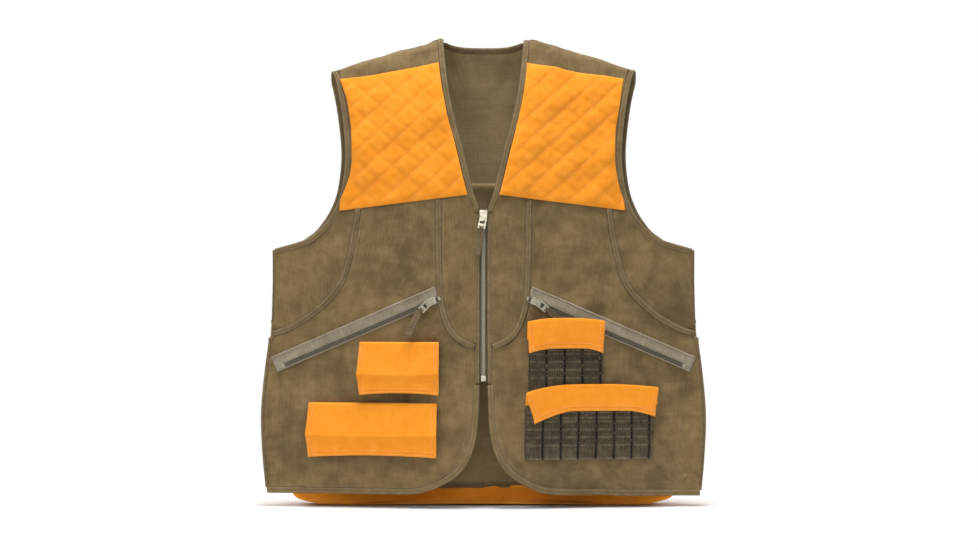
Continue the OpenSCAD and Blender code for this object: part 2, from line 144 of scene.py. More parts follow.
def as_grid(points, tris):
    """A patch of triangles made by splitting a grid, as an array [row][column] of points."""
    around, count = {}, {}
    for t in tris:
        for k in range(3):
            a, b = int(t[k]), int(t[(k + 1) % 3])
            around.setdefault(a, set()).add(b)
            around.setdefault(b, set()).add(a)
            count[a] = count.get(a, 0) + 1
    loop = rim_loop(tris)
    corners = [i for i, v in enumerate(loop) if count[v] <= 2]
    if len(corners) != 4:
        raise ValueError(f"{len(corners)} corners")
    loop = loop[corners[0]:] + loop[:corners[0]]
    c1, c3 = corners[1] - corners[0], corners[3] - corners[0]
    rows = [loop[:c1 + 1]]
    for v in loop[:c3 - 1:-1]:
        row, above = [v], rows[-1]
        placed = {q for r in rows for q in r} | {v}
        for i in range(1, len(above)):
            row.append([q for q in around[row[-1]] & around[above[i]] if q not in placed][0])
            placed.add(row[-1])
        rows.append(row)
    return np.array([[points[v] for v in row] for row in rows])


def sheet(node, toward=FRONT):
    """The skin of a node's sheet that faces a way, as a grid whose columns run
    along +X and whose rows run up."""
    points, patches, normals = skins(node)
    best = max(range(len(patches)), key=lambda k: normals[k] @ toward)
    g = as_grid(points, patches[best])
    along, up = g[:, -1] - g[:, 0], g[-1] - g[0]
    if np.abs(up[:, 0]).mean() / np.linalg.norm(up, axis=1).mean() > \
            np.abs(along[:, 0]).mean() / np.linalg.norm(along, axis=1).mean():
        g = g.transpose(1, 0, 2)
    if (g[:, -1, 0] - g[:, 0, 0]).mean() < 0:
        g = g[:, ::-1]
    if (g[-1, :, 2] - g[0, :, 2]).mean() < 0:
        g = g[::-1]
    return g


def tapes(node, toward=FRONT):
    """Each tape of a node on the side that faces a way: its two long edges as
    arrays of as many points, and the way out of it at each."""
    points, patches, normals = skins(node)
    found = []
    for tris, n in zip(patches, normals):
        middle = points[np.unique(tris)].mean(axis=0)
        if n @ toward < 0.4 * np.linalg.norm(n) or len(tris) < 6 or middle[1] * toward[1] < 0:
            continue
        loop = rim_loop(tris)
        ring = points[loop]
        before, after = unit(ring - np.roll(ring, 1, axis=0)), unit(np.roll(ring, -1, axis=0) - ring)
        c = sorted(np.argsort((before * after).sum(axis=1))[:4])
        sides = [loop[c[k]:c[k + 1] + 1] for k in range(3)] + [loop[c[3]:] + loop[:c[0] + 1]]
        long_first = len(sides[0]) + len(sides[2]) > len(sides[1]) + len(sides[3])
        one, two = (sides[0], sides[2][::-1]) if long_first else (sides[1], sides[3][::-1])
        one, two = points[one], points[two]
        if len(one) != len(two):
            count = max(len(one), len(two)) - 1
            run = [np.linalg.norm(np.diff(q, axis=0), axis=1).sum() for q in (one, two)]
            one, two = evenly(one, run[0] / count), evenly(two, run[1] / count)
        found.append((one, two))
    return found


# ---- grids of points --------------------------------------------------------


def smooth(t):
    """0 to 1 with soft ends."""
    t = np.clip(t, 0, 1)
    return t * t * (3 - 2 * t)


def curve(p, t):
    """Points at the fractional places t along the first axis of p, on a smooth curve."""
    n = len(p) - 1
    p = np.concatenate([[2 * p[0] - p[1]], p, [2 * p[-1] - p[-2]]])
    i = np.clip(np.floor(t).astype(int), 0, n - 1)
    f = (t - i).reshape((-1,) + (1,) * (p.ndim - 1))
    a, b, c, d = p[i], p[i + 1], p[i + 2], p[i + 3]
    return 0.5 * (2 * b + (c - a) * f + (2 * a - 5 * b + 4 * c - d) * f ** 2
                  + (3 * b - a - 3 * c + d) * f ** 3)


def evenly(p, step):
    """A line or a grid of points respaced along its first axis, about step apart."""
    gaps = np.linalg.norm(np.diff(p, axis=0), axis=-1)
    if p.ndim == 3:
        gaps = gaps.mean(axis=1)
    s = np.concatenate([[0], np.cumsum(gaps)])
    cells = max(2, int(round(s[-1] / step)))
    return curve(p, np.interp(np.linspace(0, s[-1], cells + 1), s, np.arange(len(s))))


def finer(g, step):
    """A grid respaced along its rows and its columns."""
    return evenly(evenly(g, step).transpose(1, 0, 2), step).transpose(1, 0, 2)


def grid_normals(g, toward):
    """Unit normals of a grid on the side that faces a way."""
    n = unit(np.cross(np.gradient(g, axis=1), np.gradient(g, axis=0)))
    return n if (n @ toward).sum() > 0 else -n


def lengths(g):
    """Distances along the rows and the columns of a grid, as two arrays of its shape."""
    u = np.concatenate([np.zeros((g.shape[0], 1)),
                        np.cumsum(np.linalg.norm(np.diff(g, axis=1), axis=2), axis=1)], axis=1)
    v = np.concatenate([np.zeros((1, g.shape[1])),
                        np.cumsum(np.linalg.norm(np.diff(g, axis=0), axis=2), axis=0)], axis=0)
    return u, v


def from_edge(g):
    """Distance of each point of a grid from the grid's edge."""
    u, v = lengths(g)
    return np.minimum.reduce([u, u[:, -1:] - u, v, v[-1:] - v])


def waves(p, size, seed, count=7):
    """A smooth random field at points p, about -1 to 1, with folds about size across."""
    r = np.random.default_rng(seed)
    total = np.zeros(p.shape[:-1])
    for _ in range(count):
        way = unit(r.normal(size=3)) * 2 * math.pi / (size * r.uniform(0.7, 1.6))
        total += np.sin(p @ way + r.uniform(0, 6.28))
    return total / math.sqrt(count)


def tuck(g, cols=(0, 0), rows=(0, 0)):
    """A grid carried on past its edges, so that it runs under the tape or patch
    sewn over them: (start, end) lengths for its columns and its rows."""
    for axis, (first, last) in ((1, cols), (0, rows)):
        g = np.moveaxis(g, axis, 0)
        if first:
            g = np.concatenate([(g[0] + unit(g[0] - g[2]) * first)[None], g])
        if last:
            g = np.concatenate([g, (g[-1] + unit(g[-1] - g[-3]) * last)[None]])
        g = np.moveaxis(g, 0, axis)
    return g


def drape(p, n):
    """The soft hang of the shell: the same field for every piece sewn to it. It
    is calmer beside the three zips and towards the sides."""
    calm = smooth((np.abs(p[..., 0]) - 14 * MM) / (40 * MM)) * 0.9 + 0.1
    calm = calm * (1 - 0.88 * smooth((np.abs(p[..., 0]) - 205 * MM) / (75 * MM)))
    for start, end in ZIPS:
        t = np.clip((p - start) @ (end - start) / ((end - start) @ (end - start)), 0, 1)
        gap = np.linalg.norm((p - start - t[..., None] * (end - start))[..., ::2], axis=-1)
        calm = calm * (1 - 0.8 * np.exp(-(gap / (16 * MM)) ** 2))
    x, y, z = np.moveaxis(p, -1, 0)
    slant = np.stack([x * 1.1 + z * 0.5 * np.sign(x), y, z * 0.8], axis=-1)
    ripple = 3.2 * waves(slant, 0.14, 3) + 1.7 * waves(p, 0.06, 4) + 0.4 * waves(p, 0.022, 5) - 1.0
    return p + n * (np.clip(ripple, -7.0, 2.6) * calm)[..., None] * MM


def ends_of(node):
    """The two ends of a long CAD node."""
    p = corners(node)
    low, high = p[:, 0].min() + 4 * MM, p[:, 0].max() - 4 * MM
    return np.array([p[p[:, 0] < low].mean(axis=0), p[p[:, 0] > high].mean(axis=0)])


ZIPS = [ends_of("right_pocket_coil"), ends_of("left_pocket_coil")]


# ---- making pieces ----------------------------------------------------------


def make_piece(name, verts, faces, kind, body, nodes=(), smooth=True, uv=None, wear=None, dips=None):
    """A mesh piece of one kind of material, which rides on a body and may stand for CAD nodes."""
    mesh = bpy.data.meshes.new(name)
    mesh.from_pydata([tuple(v) for v in verts], [], [tuple(f) for f in faces])
    mesh.validate()
    bm = bmesh.new()
    bm.from_mesh(mesh)
    bmesh.ops.recalc_face_normals(bm, faces=bm.faces)
    bm.to_mesh(mesh)
    bm.free()
    if smooth:
        mesh.shade_smooth()
    if uv is not None:
        layer = mesh.uv_layers.new(name="cloth")
        index = np.empty(len(mesh.loops), dtype=np.int32)
        mesh.loops.foreach_get("vertex_index", index)
        layer.data.foreach_set("uv", np.asarray(uv, dtype=np.float32)[index].ravel())
    # point attributes: edges paled by use plus painted highlight, and painted shade
    for key, values in (("wear", wear), ("dips", dips)):
        values = np.zeros(len(mesh.vertices)) if values is None else np.asarray(values)
        mesh.attributes.new(key, "FLOAT", "POINT").data.foreach_set("value", values.astype(np.float32))
    mesh.materials.append(mats[kind])
    obj = bpy.data.objects.new(name, mesh)
    bpy.context.scene.collection.objects.link(obj)
    if body:
        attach(obj, body)
    if nodes:
        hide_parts(*nodes)
    return obj


def grid_faces(rows, cols, offset=0):
    """Quads of a grid whose points are numbered row by row."""
    return [(offset + j * cols + i, offset + j * cols + i + 1,
             offset + (j + 1) * cols + i + 1, offset + (j + 1) * cols + i)
            for j in range(rows - 1) for i in range(cols - 1)]


def cloth(name, g, thick, kind, body, nodes=(), toward=FRONT, wear_w=6 * MM, painted_highlight=0, dips=0):
    """A piece of cloth: the grid is its face, and its back lies thick behind.
    Its last two settings say, 0 to 1, where a painted highlight makes it paler and where painted shade makes
    it dark."""
    rows, cols = g.shape[:2]
    n = grid_normals(g, toward)
    rim = np.clip(from_edge(g) / (0.6 * thick), 0, 1)[..., None]     # rounds the edge
    face = g - n * thick * 0.25 * (1 - rim)
    back = g - n * thick * (1 - 0.25 * (1 - rim))
    verts = np.concatenate([face.reshape(-1, 3), back.reshape(-1, 3)])
    count = rows * cols
    faces = grid_faces(rows, cols) + [f[::-1] for f in grid_faces(rows, cols, count)]
    border = ([(0, i) for i in range(cols)] + [(j, cols - 1) for j in range(1, rows)]
              + [(rows - 1, i) for i in range(cols - 2, -1, -1)] + [(j, 0) for j in range(rows - 2, 0, -1)])
    ids = [j * cols + i for j, i in border]
    faces += [(ids[k], ids[(k + 1) % len(ids)], ids[(k + 1) % len(ids)] + count, ids[k] + count)
              for k in range(len(ids))]
    u, v = lengths(g)
    uv = np.stack([u, v], axis=-1).reshape(-1, 2)
    # edges paled by use, with the painted highlight of raised parts laid over them
    wear = np.maximum(np.clip(1 - from_edge(g) / wear_w, 0, 1), painted_highlight).ravel()
    return make_piece(name, verts, faces, kind, body, nodes, uv=np.concatenate([uv, uv]),
                      wear=np.tile(wear, 2), dips=np.tile(np.broadcast_to(dips, g.shape[:2]).ravel(), 2))


def sweep(name, centre, across, out, profile, body, nodes, step=4 * MM):
    """A binding tape swept along points, with a painted highlight along its rounded shoulders and painted
    shadow at its edges. profile is a closed
    list of (a, b): a in half widths along across, b in metres along out."""
    stack = np.stack([centre, across, out], axis=1)
    gaps = np.linalg.norm(np.diff(centre, axis=0), axis=1)
    s = np.concatenate([[0], np.cumsum(gaps)])
    cells = max(3, int(round(s[-1] / step)))
    fine = curve(stack, np.interp(np.linspace(0, s[-1], cells + 1), s, np.arange(len(s))))
    c, w, o = fine[:, 0], fine[:, 1], unit(fine[:, 2])
    ring = np.array(profile)
    points = c[:, None] + w[:, None] * ring[None, :, 0:1] + o[:, None] * ring[None, :, 1:2]
    k = len(ring)
    faces = [(i * k + j, i * k + (j + 1) % k, (i + 1) * k + (j + 1) % k, (i + 1) * k + j)
             for i in range(len(c) - 1) for j in range(k)]
    faces += [tuple(range(k)), tuple(range((len(c) - 1) * k, len(c) * k))]
    length = np.linspace(0, s[-1], cells + 1)
    width = np.linalg.norm(w, axis=1).mean()
    uv = np.array([[width * a, l] for l in length for a, _ in ring])
    off = np.array([abs(a) for _ in length for a, _ in ring])
    # painted highlight along the tape's rounded shoulders and painted shadow in the gap at its edges
    wear, dips = 0.8 * np.exp(-((off - 0.68) / 0.2) ** 2), 0.5 * (off > 0.9)
    make_piece(name, points.reshape(-1, 3), faces, "binding_tape", body, nodes, uv=uv, wear=wear, dips=dips)
    return c, w, o


def rounded_profile(out_h, in_h, groove, count=9):
    """The section of a bias tape: flat with round edges. groove is where its
    stitching pulls it in, in half widths."""
    top = []
    for a in np.linspace(-1, 1, count):
        h = out_h * (1 - abs(a) ** 4) ** 0.5
        top.append((a, h - 0.35 * MM * math.exp(-((a - groove) / 0.16) ** 2)))
    under = [(a, -in_h * (1 - abs(a) ** 4) ** 0.5) for a in np.linspace(1, -1, count)[1:-1]]
    return top + under


stitch_jobs = {}      # (body, kind of thread) -> list of (place, along, out)


def stitch_line(points, out, body="vest", kind="thread_tan", pitch=3.2 * MM):
    """Asks for a row of stitches along points, whose cloth faces out."""
    fine = evenly(np.concatenate([points, out], axis=1).reshape(len(points), 2, 3), pitch)
    p, o = fine[:, 0], unit(fine[:, 1])
    along = unit(np.gradient(p, axis=0))
    stitch_jobs.setdefault((body, kind), []).extend(zip(p, along, o))


def make_stitches():
    """One mesh of stitches for each body and thread; a stitch is a short spindle."""
    for (body, kind), items in stitch_jobs.items():
        p, along, out = (np.array([it[k] for it in items]) for k in range(3))
        across = unit(np.cross(along, out))
        half, thick = 1.15 * MM, 0.32 * MM
        verts = [p + along * half * t + across * thick * a + out * thick * b
                 for t in (-0.55, 0.55) for a, b in ((1, 0), (0, 1), (-1, 0), (0, -1))]
        verts += [p - along * half, p + along * half]
        verts = np.stack(verts, axis=1).reshape(-1, 3)
        shape = [(k, (k + 1) % 4, 4 + (k + 1) % 4, 4 + k) for k in range(4)]
        shape += [((k + 1) % 4, k, 8) for k in range(4)] + [(4 + k, 4 + (k + 1) % 4, 9) for k in range(4)]
        faces = [tuple(10 * i + v for v in f) for i in range(len(p)) for f in shape]
        make_piece(f"stitching_{kind}_{body}", verts, faces, kind, body)


# ---- cloth simulation -------------------------------------------------------


class Settling:
    """Grids that settle as cloth together. add() takes the grid, where it is
    pinned (0 to 1), the pressure behind it and how much longer the cloth is
    than its outline; run() gives the settled grids back, capped."""

    def __init__(self):
        self.jobs = {}

    def add(self, name, g, pinned, pressure, slack, cap, toward=FRONT):
        self.jobs[name] = (g, pinned, pressure, slack, cap, toward)

    def run(self, frames=14):
        scene, objects = bpy.context.scene, {}
        scene.frame_set(1)
        for name, (g, pinned, pressure, slack, _, toward) in self.jobs.items():
            rows, cols = g.shape[:2]
            faces = grid_faces(rows, cols)
            n = np.cross(g[0, 1] - g[0, 0], g[1, 0] - g[0, 0])
            if n @ toward < 0:
                faces = [f[::-1] for f in faces]
            mesh = bpy.data.meshes.new("settling_" + name)
            mesh.from_pydata([tuple(v) for v in g.reshape(-1, 3)], [], faces)
            obj = bpy.data.objects.new("settling_" + name, mesh)
            scene.collection.objects.link(obj)
            group = obj.vertex_groups.new(name="pin")
            for i, w in enumerate(pinned.ravel()):
                if w > 0:
                    group.add([i], float(w), "REPLACE")
            mod = obj.modifiers.new("cloth", "CLOTH")
            rules = mod.settings
            rules.quality, rules.mass, rules.air_damping = 5, 0.25, 4
            rules.tension_stiffness = rules.compression_stiffness = 12
            rules.shear_stiffness, rules.bending_stiffness = 4, 0.35
            rules.vertex_group_mass = "pin"
            rules.use_pressure, rules.uniform_pressure_force = True, pressure
            rules.shrink_min = -slack
            rules.effector_weights.gravity = 0
            mod.point_cache.frame_start, mod.point_cache.frame_end = 1, frames + 1
            objects[name] = obj
        for f in range(1, frames + 1):
            scene.frame_set(f)
        graph, settled = bpy.context.evaluated_depsgraph_get(), {}
        for name, obj in objects.items():
            g, cap = self.jobs[name][0], self.jobs[name][4]
            mesh = obj.evaluated_get(graph).to_mesh()
            co = np.empty(len(mesh.vertices) * 3)
            mesh.vertices.foreach_get("co", co)
            move = co.reshape(g.shape) - g
            far = np.linalg.norm(move, axis=-1, keepdims=True)
            settled[name] = g + move * (cap * np.tanh(far / cap) / np.maximum(far, 1e-9))
        scene.frame_set(1)
        for obj in objects.values():
            mesh = obj.data
            bpy.data.objects.remove(obj)
            bpy.data.meshes.remove(mesh)
        return settled


# ---- materials --------------------------------------------------------------


def srgb(r, g, b):
    """A colour given as 0 to 255 display values, as Blender's linear RGBA."""
    shares = [c / 255 for c in (r, g, b)]
    return (*(c / 12.92 if c <= 0.04045 else ((c + 0.055) / 1.055) ** 2.4 for c in shares), 1.0)


class Nodes:
    """A short way to build a node material."""

    def __init__(self, name):
        self.mat = bpy.data.materials.new(name)
        self.mat.use_nodes = True
        self.tree = self.mat.node_tree
        self.bsdf = self.tree.nodes["Principled BSDF"]

    def node(self, kind, **values):
        n = self.tree.nodes.new(kind)
        for key, value in values.items():
            if key in n.inputs:
                self.put(value, n.inputs[key])
            else:
                setattr(n, key, value)
        return n

    def put(self, value, socket):
        if isinstance(value, bpy.types.NodeSocket):
            self.tree.links.new(value, socket)
        else:
            socket.default_value = value

    def math(self, op, a, b=0.0, clamp=False):
        n = self.node("ShaderNodeMath", operation=op, use_clamp=clamp)
        self.put(a, n.inputs[0])
        self.put(b, n.inputs[1])
        return n.outputs[0]

    def mix(self, fac, a, b, blend="MIX"):
        n = self.node("ShaderNodeMix", data_type="RGBA", blend_type=blend)
        self.put(fac, n.inputs[0])
        self.put(a, n.inputs[6])
        self.put(b, n.inputs[7])
        return n.outputs[2]

    def noise(self, scale, detail=3.0, rough=0.55, where=None):
        n = self.node("ShaderNodeTexNoise")
        n.inputs["Scale"].default_value = scale
        n.inputs["Detail"].default_value = detail
        n.inputs["Roughness"].default_value = rough
        self.put(where or self.place(), n.inputs["Vector"])
        return n.outputs["Fac"]

    def place(self):
        if not hasattr(self, "_place"):
            self._place = self.node("ShaderNodeTexCoord").outputs["Object"]
        return self._place

    def stretched(self, scale):
        """The cloth's own directions, stretched."""
        uv = self.node("ShaderNodeUVMap", uv_map="cloth").outputs["UV"]
        n = self.node("ShaderNodeVectorMath", operation="MULTIPLY")
        self.put(uv, n.inputs[0])
        self.put(scale, n.inputs[1])
        return n.outputs["Vector"]

    def ramp(self, value, low, high):
        n = self.node("ShaderNodeMapRange", clamp=True)
        self.put(value, n.inputs["Value"])
        n.inputs["From Min"].default_value = low
        n.inputs["From Max"].default_value = high
        return n.outputs["Result"]

    def attribute(self, name):
        return self.node("ShaderNodeAttribute", attribute_name=name).outputs["Fac"]

    def bump(self, height, strength, distance, normal=None):
        n = self.node("ShaderNodeBump")
        n.inputs["Strength"].default_value = strength
        n.inputs["Distance"].default_value = distance
        self.put(height, n.inputs["Height"])
        if normal:
            self.put(normal, n.inputs["Normal"])
        return n.outputs["Normal"]


def threads(m, pitch, twill=False):
    """Height of a weave, 0 to 1, with threads pitch apart along the cloth's own
    directions. A twill's threads step across to make diagonal ribs."""
    uv = m.node("ShaderNodeUVMap", uv_map="cloth").outputs["UV"]
    part = m.node("ShaderNodeSeparateXYZ", Vector=uv)
    turn = 2 * math.pi / pitch
    u, v = (m.math("MULTIPLY", part.outputs[k], turn) for k in (0, 1))
    if twill:
        rib = m.math("SINE", m.math("ADD", u, v))
        return m.math("ADD", m.math("MULTIPLY", rib, 0.35), 0.5)
    weave = m.math("MULTIPLY", m.math("SINE", u), m.math("SINE", v))
    return m.math("ADD", m.math("MULTIPLY", weave, 0.5), 0.5)


def woven(name, base, dark, light, pitch, twill=False, blotch=0.5, roughness=0.9, sheen=0.25, bump=0.35,
          highlight_tone=None, slubs=0.2, wear_and_highlight_mix=0.4, painted_fold_shade=0.0):
    """Cloth: three tones moved about by large and small noise, slubs along both
    threads, a weave, fuzz, edges paled by use, a painted highlight on raised ridges and
    painted shade in gaps, grooves and at tape edges. Its last setting adds
    dark blotches of two sizes: painted shade of soft folds."""
    m = Nodes(name)
    weave = threads(m, pitch, twill)
    big, mid, fine = m.noise(9, 3), m.noise(60, 4, 0.6), m.noise(900, 2)
    colour = m.mix(m.ramp(big, 0.3, 0.7), base, m.mix(blotch, base, dark))
    for scale, tone in (((42, 480, 1), dark), ((520, 36, 1), light), ((11, 90, 1), dark)):
        slub = m.noise(1.0, 2, 0.6, m.stretched(scale))
        colour = m.mix(m.math("MULTIPLY", m.ramp(slub, 0.38, 0.72), slubs), colour, tone)
    colour = m.mix(m.math("MULTIPLY", m.ramp(mid, 0.42, 0.75), 0.35), colour, light)
    colour = m.mix(m.math("MULTIPLY", m.ramp(fine, 0.35, 0.75), 0.3), colour, dark)
    colour = m.mix(m.math("MULTIPLY", m.math("SUBTRACT", 1.0, weave), 0.22), colour, dark)
    # painted shade of soft folds: dark blotches of two sizes
    if painted_fold_shade:
        for scale in (20, 34):
            crease = m.ramp(m.noise(scale, 2, 0.5), 0.5, 0.74)
            colour = m.mix(m.math("MULTIPLY", crease, painted_fold_shade), colour, dark)
    # edges paled by use, and a painted highlight on the raised ridges of tapes and loops
    edge = m.math("MULTIPLY", m.attribute("wear"), m.ramp(m.noise(180, 3), 0.3, 0.7))
    colour = m.mix(m.math("MULTIPLY", edge, wear_and_highlight_mix), colour, highlight_tone or light)
    # painted shade in gaps between loops, in the gathers' troughs and in the shadow gap at tape edges
    colour = m.mix(m.attribute("dips"), colour, (*(0.25 * c for c in dark[:3]), 1.0))
    m.put(colour, m.bsdf.inputs["Base Color"])
    rough = m.math("ADD", m.math("MULTIPLY", mid, 0.12), roughness - 0.06, clamp=True)
    m.put(rough, m.bsdf.inputs["Roughness"])
    m.bsdf.inputs["Sheen Weight"].default_value = sheen
    m.bsdf.inputs["Sheen Roughness"].default_value = 0.6
    m.bsdf.inputs["Specular IOR Level"].default_value = 0.12
    soft = m.bump(mid, 0.25, 0.6 * MM)
    m.put(m.bump(weave, bump, 0.25 * MM, soft), m.bsdf.inputs["Normal"])
    return m.mat


def metal(name, base, dark, roughness=0.34):
    """Worn plated metal: tarnish in patches and fine scratches."""
    m = Nodes(name)
    tarnish, scratch = m.noise(240, 4, 0.65), m.noise(1500, 2)
    colour = m.mix(m.math("MULTIPLY", m.ramp(tarnish, 0.4, 0.75), 0.7), base, dark)
    m.put(colour, m.bsdf.inputs["Base Color"])
    m.bsdf.inputs["Metallic"].default_value = 1.0
    m.put(m.math("ADD", m.math("MULTIPLY", tarnish, 0.25), roughness - 0.1), m.bsdf.inputs["Roughness"])
    m.put(m.bump(scratch, 0.12, 0.08 * MM), m.bsdf.inputs["Normal"])
    return m.mat


def plastic(name, base, dark, roughness=0.45):
    """Moulded nylon: slightly uneven colour and gloss."""
    m = Nodes(name)
    grain = m.noise(700, 3)
    m.put(m.mix(m.ramp(grain, 0.3, 0.8), base, dark), m.bsdf.inputs["Base Color"])
    m.put(m.math("ADD", m.math("MULTIPLY", grain, 0.2), roughness - 0.1), m.bsdf.inputs["Roughness"])
    m.put(m.bump(grain, 0.15, 0.1 * MM), m.bsdf.inputs["Normal"])
    return m.mat


CANVAS, DARK_CANVAS, PALE_CANVAS = srgb(134, 112, 74), srgb(80, 64, 38), srgb(164, 143, 103)
ORANGE, DEEP_ORANGE, PALE_ORANGE = srgb(234, 147, 34), srgb(212, 118, 18), srgb(246, 172, 70)
ORANGES = (ORANGE, DEEP_ORANGE, PALE_ORANGE)
WOVEN = {      # three tones, then the thread pitch and what differs from plain cloth
    # the canvas gets painted shade of soft folds
    "canvas": (CANVAS, DARK_CANVAS, PALE_CANVAS, 1.1 * MM,
               dict(twill=True, blotch=0.55, slubs=0.3, bump=0.6, sheen=0.06, painted_fold_shade=0.55)),
    # the binding tape's pale tone is the painted highlight on its shoulders
    "binding_tape": (srgb(118, 99, 67), srgb(78, 63, 40), srgb(150, 131, 96), 0.9 * MM,
                     dict(twill=True, highlight_tone=srgb(166, 146, 108), wear_and_highlight_mix=0.7, sheen=0.06)),
    "canvas_inside": (srgb(158, 135, 94), srgb(108, 89, 57), srgb(182, 161, 119), 1.1 * MM,
                      dict(twill=True, slubs=0.3, bump=0.5, sheen=0.06)),
    "quilted_orange": (*ORANGES, 0.7 * MM, dict(blotch=0.3, bump=0.25, sheen=0.04)),
    "orange_cloth": (*ORANGES, 0.7 * MM, dict(blotch=0.3, bump=0.3, sheen=0.04)),
    # the elastic is paler under a painted highlight on its crests and darker in painted shade
    "elastic": (srgb(80, 70, 52), srgb(30, 25, 18), srgb(140, 128, 102), 0.8 * MM,
                dict(blotch=0.6, bump=0.6, sheen=0.1, slubs=0.3, wear_and_highlight_mix=0.8)),
    "pull_tab": (srgb(94, 76, 50), srgb(62, 49, 31), srgb(150, 128, 92), 1.0 * MM, dict(bump=0.5)),
    "zip_tape_light": (srgb(148, 137, 116), srgb(108, 97, 78), srgb(180, 170, 150), 0.8 * MM,
                       dict(twill=True, bump=0.5, roughness=0.8, slubs=0.4, sheen=0.08)),
    "zip_tape_dark": (srgb(98, 86, 66), srgb(70, 61, 46), srgb(126, 114, 92), 0.8 * MM, dict(twill=True)),
    "thread_tan": (srgb(136, 117, 82), srgb(96, 80, 54), srgb(160, 141, 106), 0.4 * MM, {}),
    "thread_orange": (srgb(255, 176, 84), srgb(226, 128, 34), srgb(255, 198, 122), 0.4 * MM, {}),
}
mats = {name: woven(name, *tones, pitch, **rest) for name, (*tones, pitch, rest) in WOVEN.items()}
mats |= {
    "zip_coil": plastic("zip_coil", srgb(70, 62, 50), srgb(44, 38, 31)),
    "zip_teeth": plastic("zip_teeth", srgb(186, 180, 164), srgb(132, 124, 108), 0.3),
    "nickel": metal("nickel", srgb(214, 206, 186), srgb(138, 124, 96)),
    "old_brass": metal("old_brass", srgb(150, 128, 92), srgb(84, 68, 46), 0.45),
}


# ---- the shell --------------------------------------------------------------

SIDES = {"right": -1, "left": 1}        # the wearer's, and which way along X each lies
ACROSS, UP, OUTWARDS = np.array([1.0, 0.0, 0.0]), np.array([0.0, 0.0, 1.0]), np.array([0.0, -1.0, 0.0])
joint = {j["name"]: j for j in frame["record"]["behaviour"]["joints"]}
shell = []            # pieces that things are sewn to


# How far each panel runs on under its neighbours, in mm: inner and outer side, foot, head.
UNDER = {"front_panel": (1.6, 2.5, 0, 15), "center_panel": (1.9, 2.5, 0, 13), "side_panel": (3, 0, 3, 9),
         "shoulder_panel": (2, 2, 2, 3)}
slider_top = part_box("main_slider")[1][2]
NECK_HALF, NECK_SLOPE = 6.2 * MM, 0.344     # the opening at the slider's top, and how it widens upwards


def hem_rise(p, s):
    """How much higher the front hem lies than the back one, in metres."""
    near_foot = smooth((85 * MM - p[..., 2]) / (60 * MM))
    return 5 * MM * near_foot * (1 if s < 0 else 1 - 0.75 * smooth(np.abs(p[..., 0]) / (290 * MM)))


def open_neck(z):
    """Half the width of the neck opening at height z, just above the zip."""
    return NECK_HALF + (z - slider_top) * NECK_SLOPE


for side, s in SIDES.items():
    for part, (inner, outer, foot, head) in UNDER.items():
        node = f"{side}_{part}"
        g = sheet(node)
        g = tuck(g if s > 0 else g[:, ::-1], (inner * MM, outer * MM), (foot * MM, head * MM))
        if part == "side_panel":        # its top corner runs further on, under the patch
            g[-1, :, 2] += 8 * MM * smooth((208 * MM - np.abs(g[-1, :, 0])) / (10 * MM))
        g = finer(g if s > 0 else g[:, ::-1], 4.5 * MM)
        if part == "center_panel":
            edge = np.abs(g[..., 0]).min(axis=1, keepdims=True)
            push = np.maximum(0, open_neck(g[..., 2]) + 1.5 * MM - edge) * (g[..., 2] > slider_top - 6 * MM)
            g[..., 0] += s * push * np.clip(1 - (np.abs(g[..., 0]) - edge) / (34 * MM), 0, 1)
        if part == "front_panel":
            g[..., 2] += hem_rise(g, s)
        g = drape(g, grid_normals(g, FRONT))
        shell.append(cloth(node + "_cloth", g, 1.7 * MM, "canvas", "vest", [node]))


def tree_of(pieces):
    """A search tree over some pieces at rest."""
    verts, faces = [], []
    for piece in pieces:
        base = len(verts)
        verts += [v.co.copy() for v in piece.data.vertices]
        faces += [[base + i for i in f.vertices] for f in piece.data.polygons]
    return BVHTree.FromPolygons(verts, faces)


front_tree = tree_of(shell)


def lay(x, z, lift=0.0, tree=front_tree, way=1):
    """The place on the outside of the shell at (x, z) and the way out of it."""
    hit, normal, _, _ = tree.ray_cast(Vector((x, -0.3 * way, z)), Vector((0, way, 0)))
    if hit is None:
        hit, normal, _, _ = tree.find_nearest(Vector((x, -0.06 * way, z)))
    n = np.array(normal)
    if n[1] * way > 0:
        n = -n
    return np.array(hit) + n * lift, n


def stitch_over(path, step, tree=front_tree, way=1):
    """A row of stitches on the front, or on the back, along a path of (x, z)."""
    laid = [lay(x, z, 0.3 * MM, tree, way) for x, z in evenly(np.array(path, float), step)]
    stitch_line(np.array([p for p, _ in laid]), np.array([n for _, n in laid]))


def strip_line(one, two, toward):
    """Middle line, half width vectors and way out of a tape, from its two edges."""
    centre = (one + two) / 2
    along = unit(np.gradient(centre, axis=0))
    out = unit(np.cross(along, two - one))
    if (out @ toward).sum() < 0:
        out = -out
    half = np.linalg.norm(two - one, axis=1, keepdims=True).mean() / 2
    return centre, unit(np.cross(out, along)) * half, out


def edge_tape(name, centre, across, out, body, nodes, grow, high, seats):
    """A rounded binding tape, high above its line and grow times as wide as across
    says, with its rows of stitches, seats half widths from its middle."""
    profile = rounded_profile(high, 1.3 * MM, seats[0])
    c, w, o = sweep(name, centre, across * grow, out, profile, body, nodes)
    for seat in seats:
        stitch_line(c + w * seat + o * (high * 0.86), o, body)


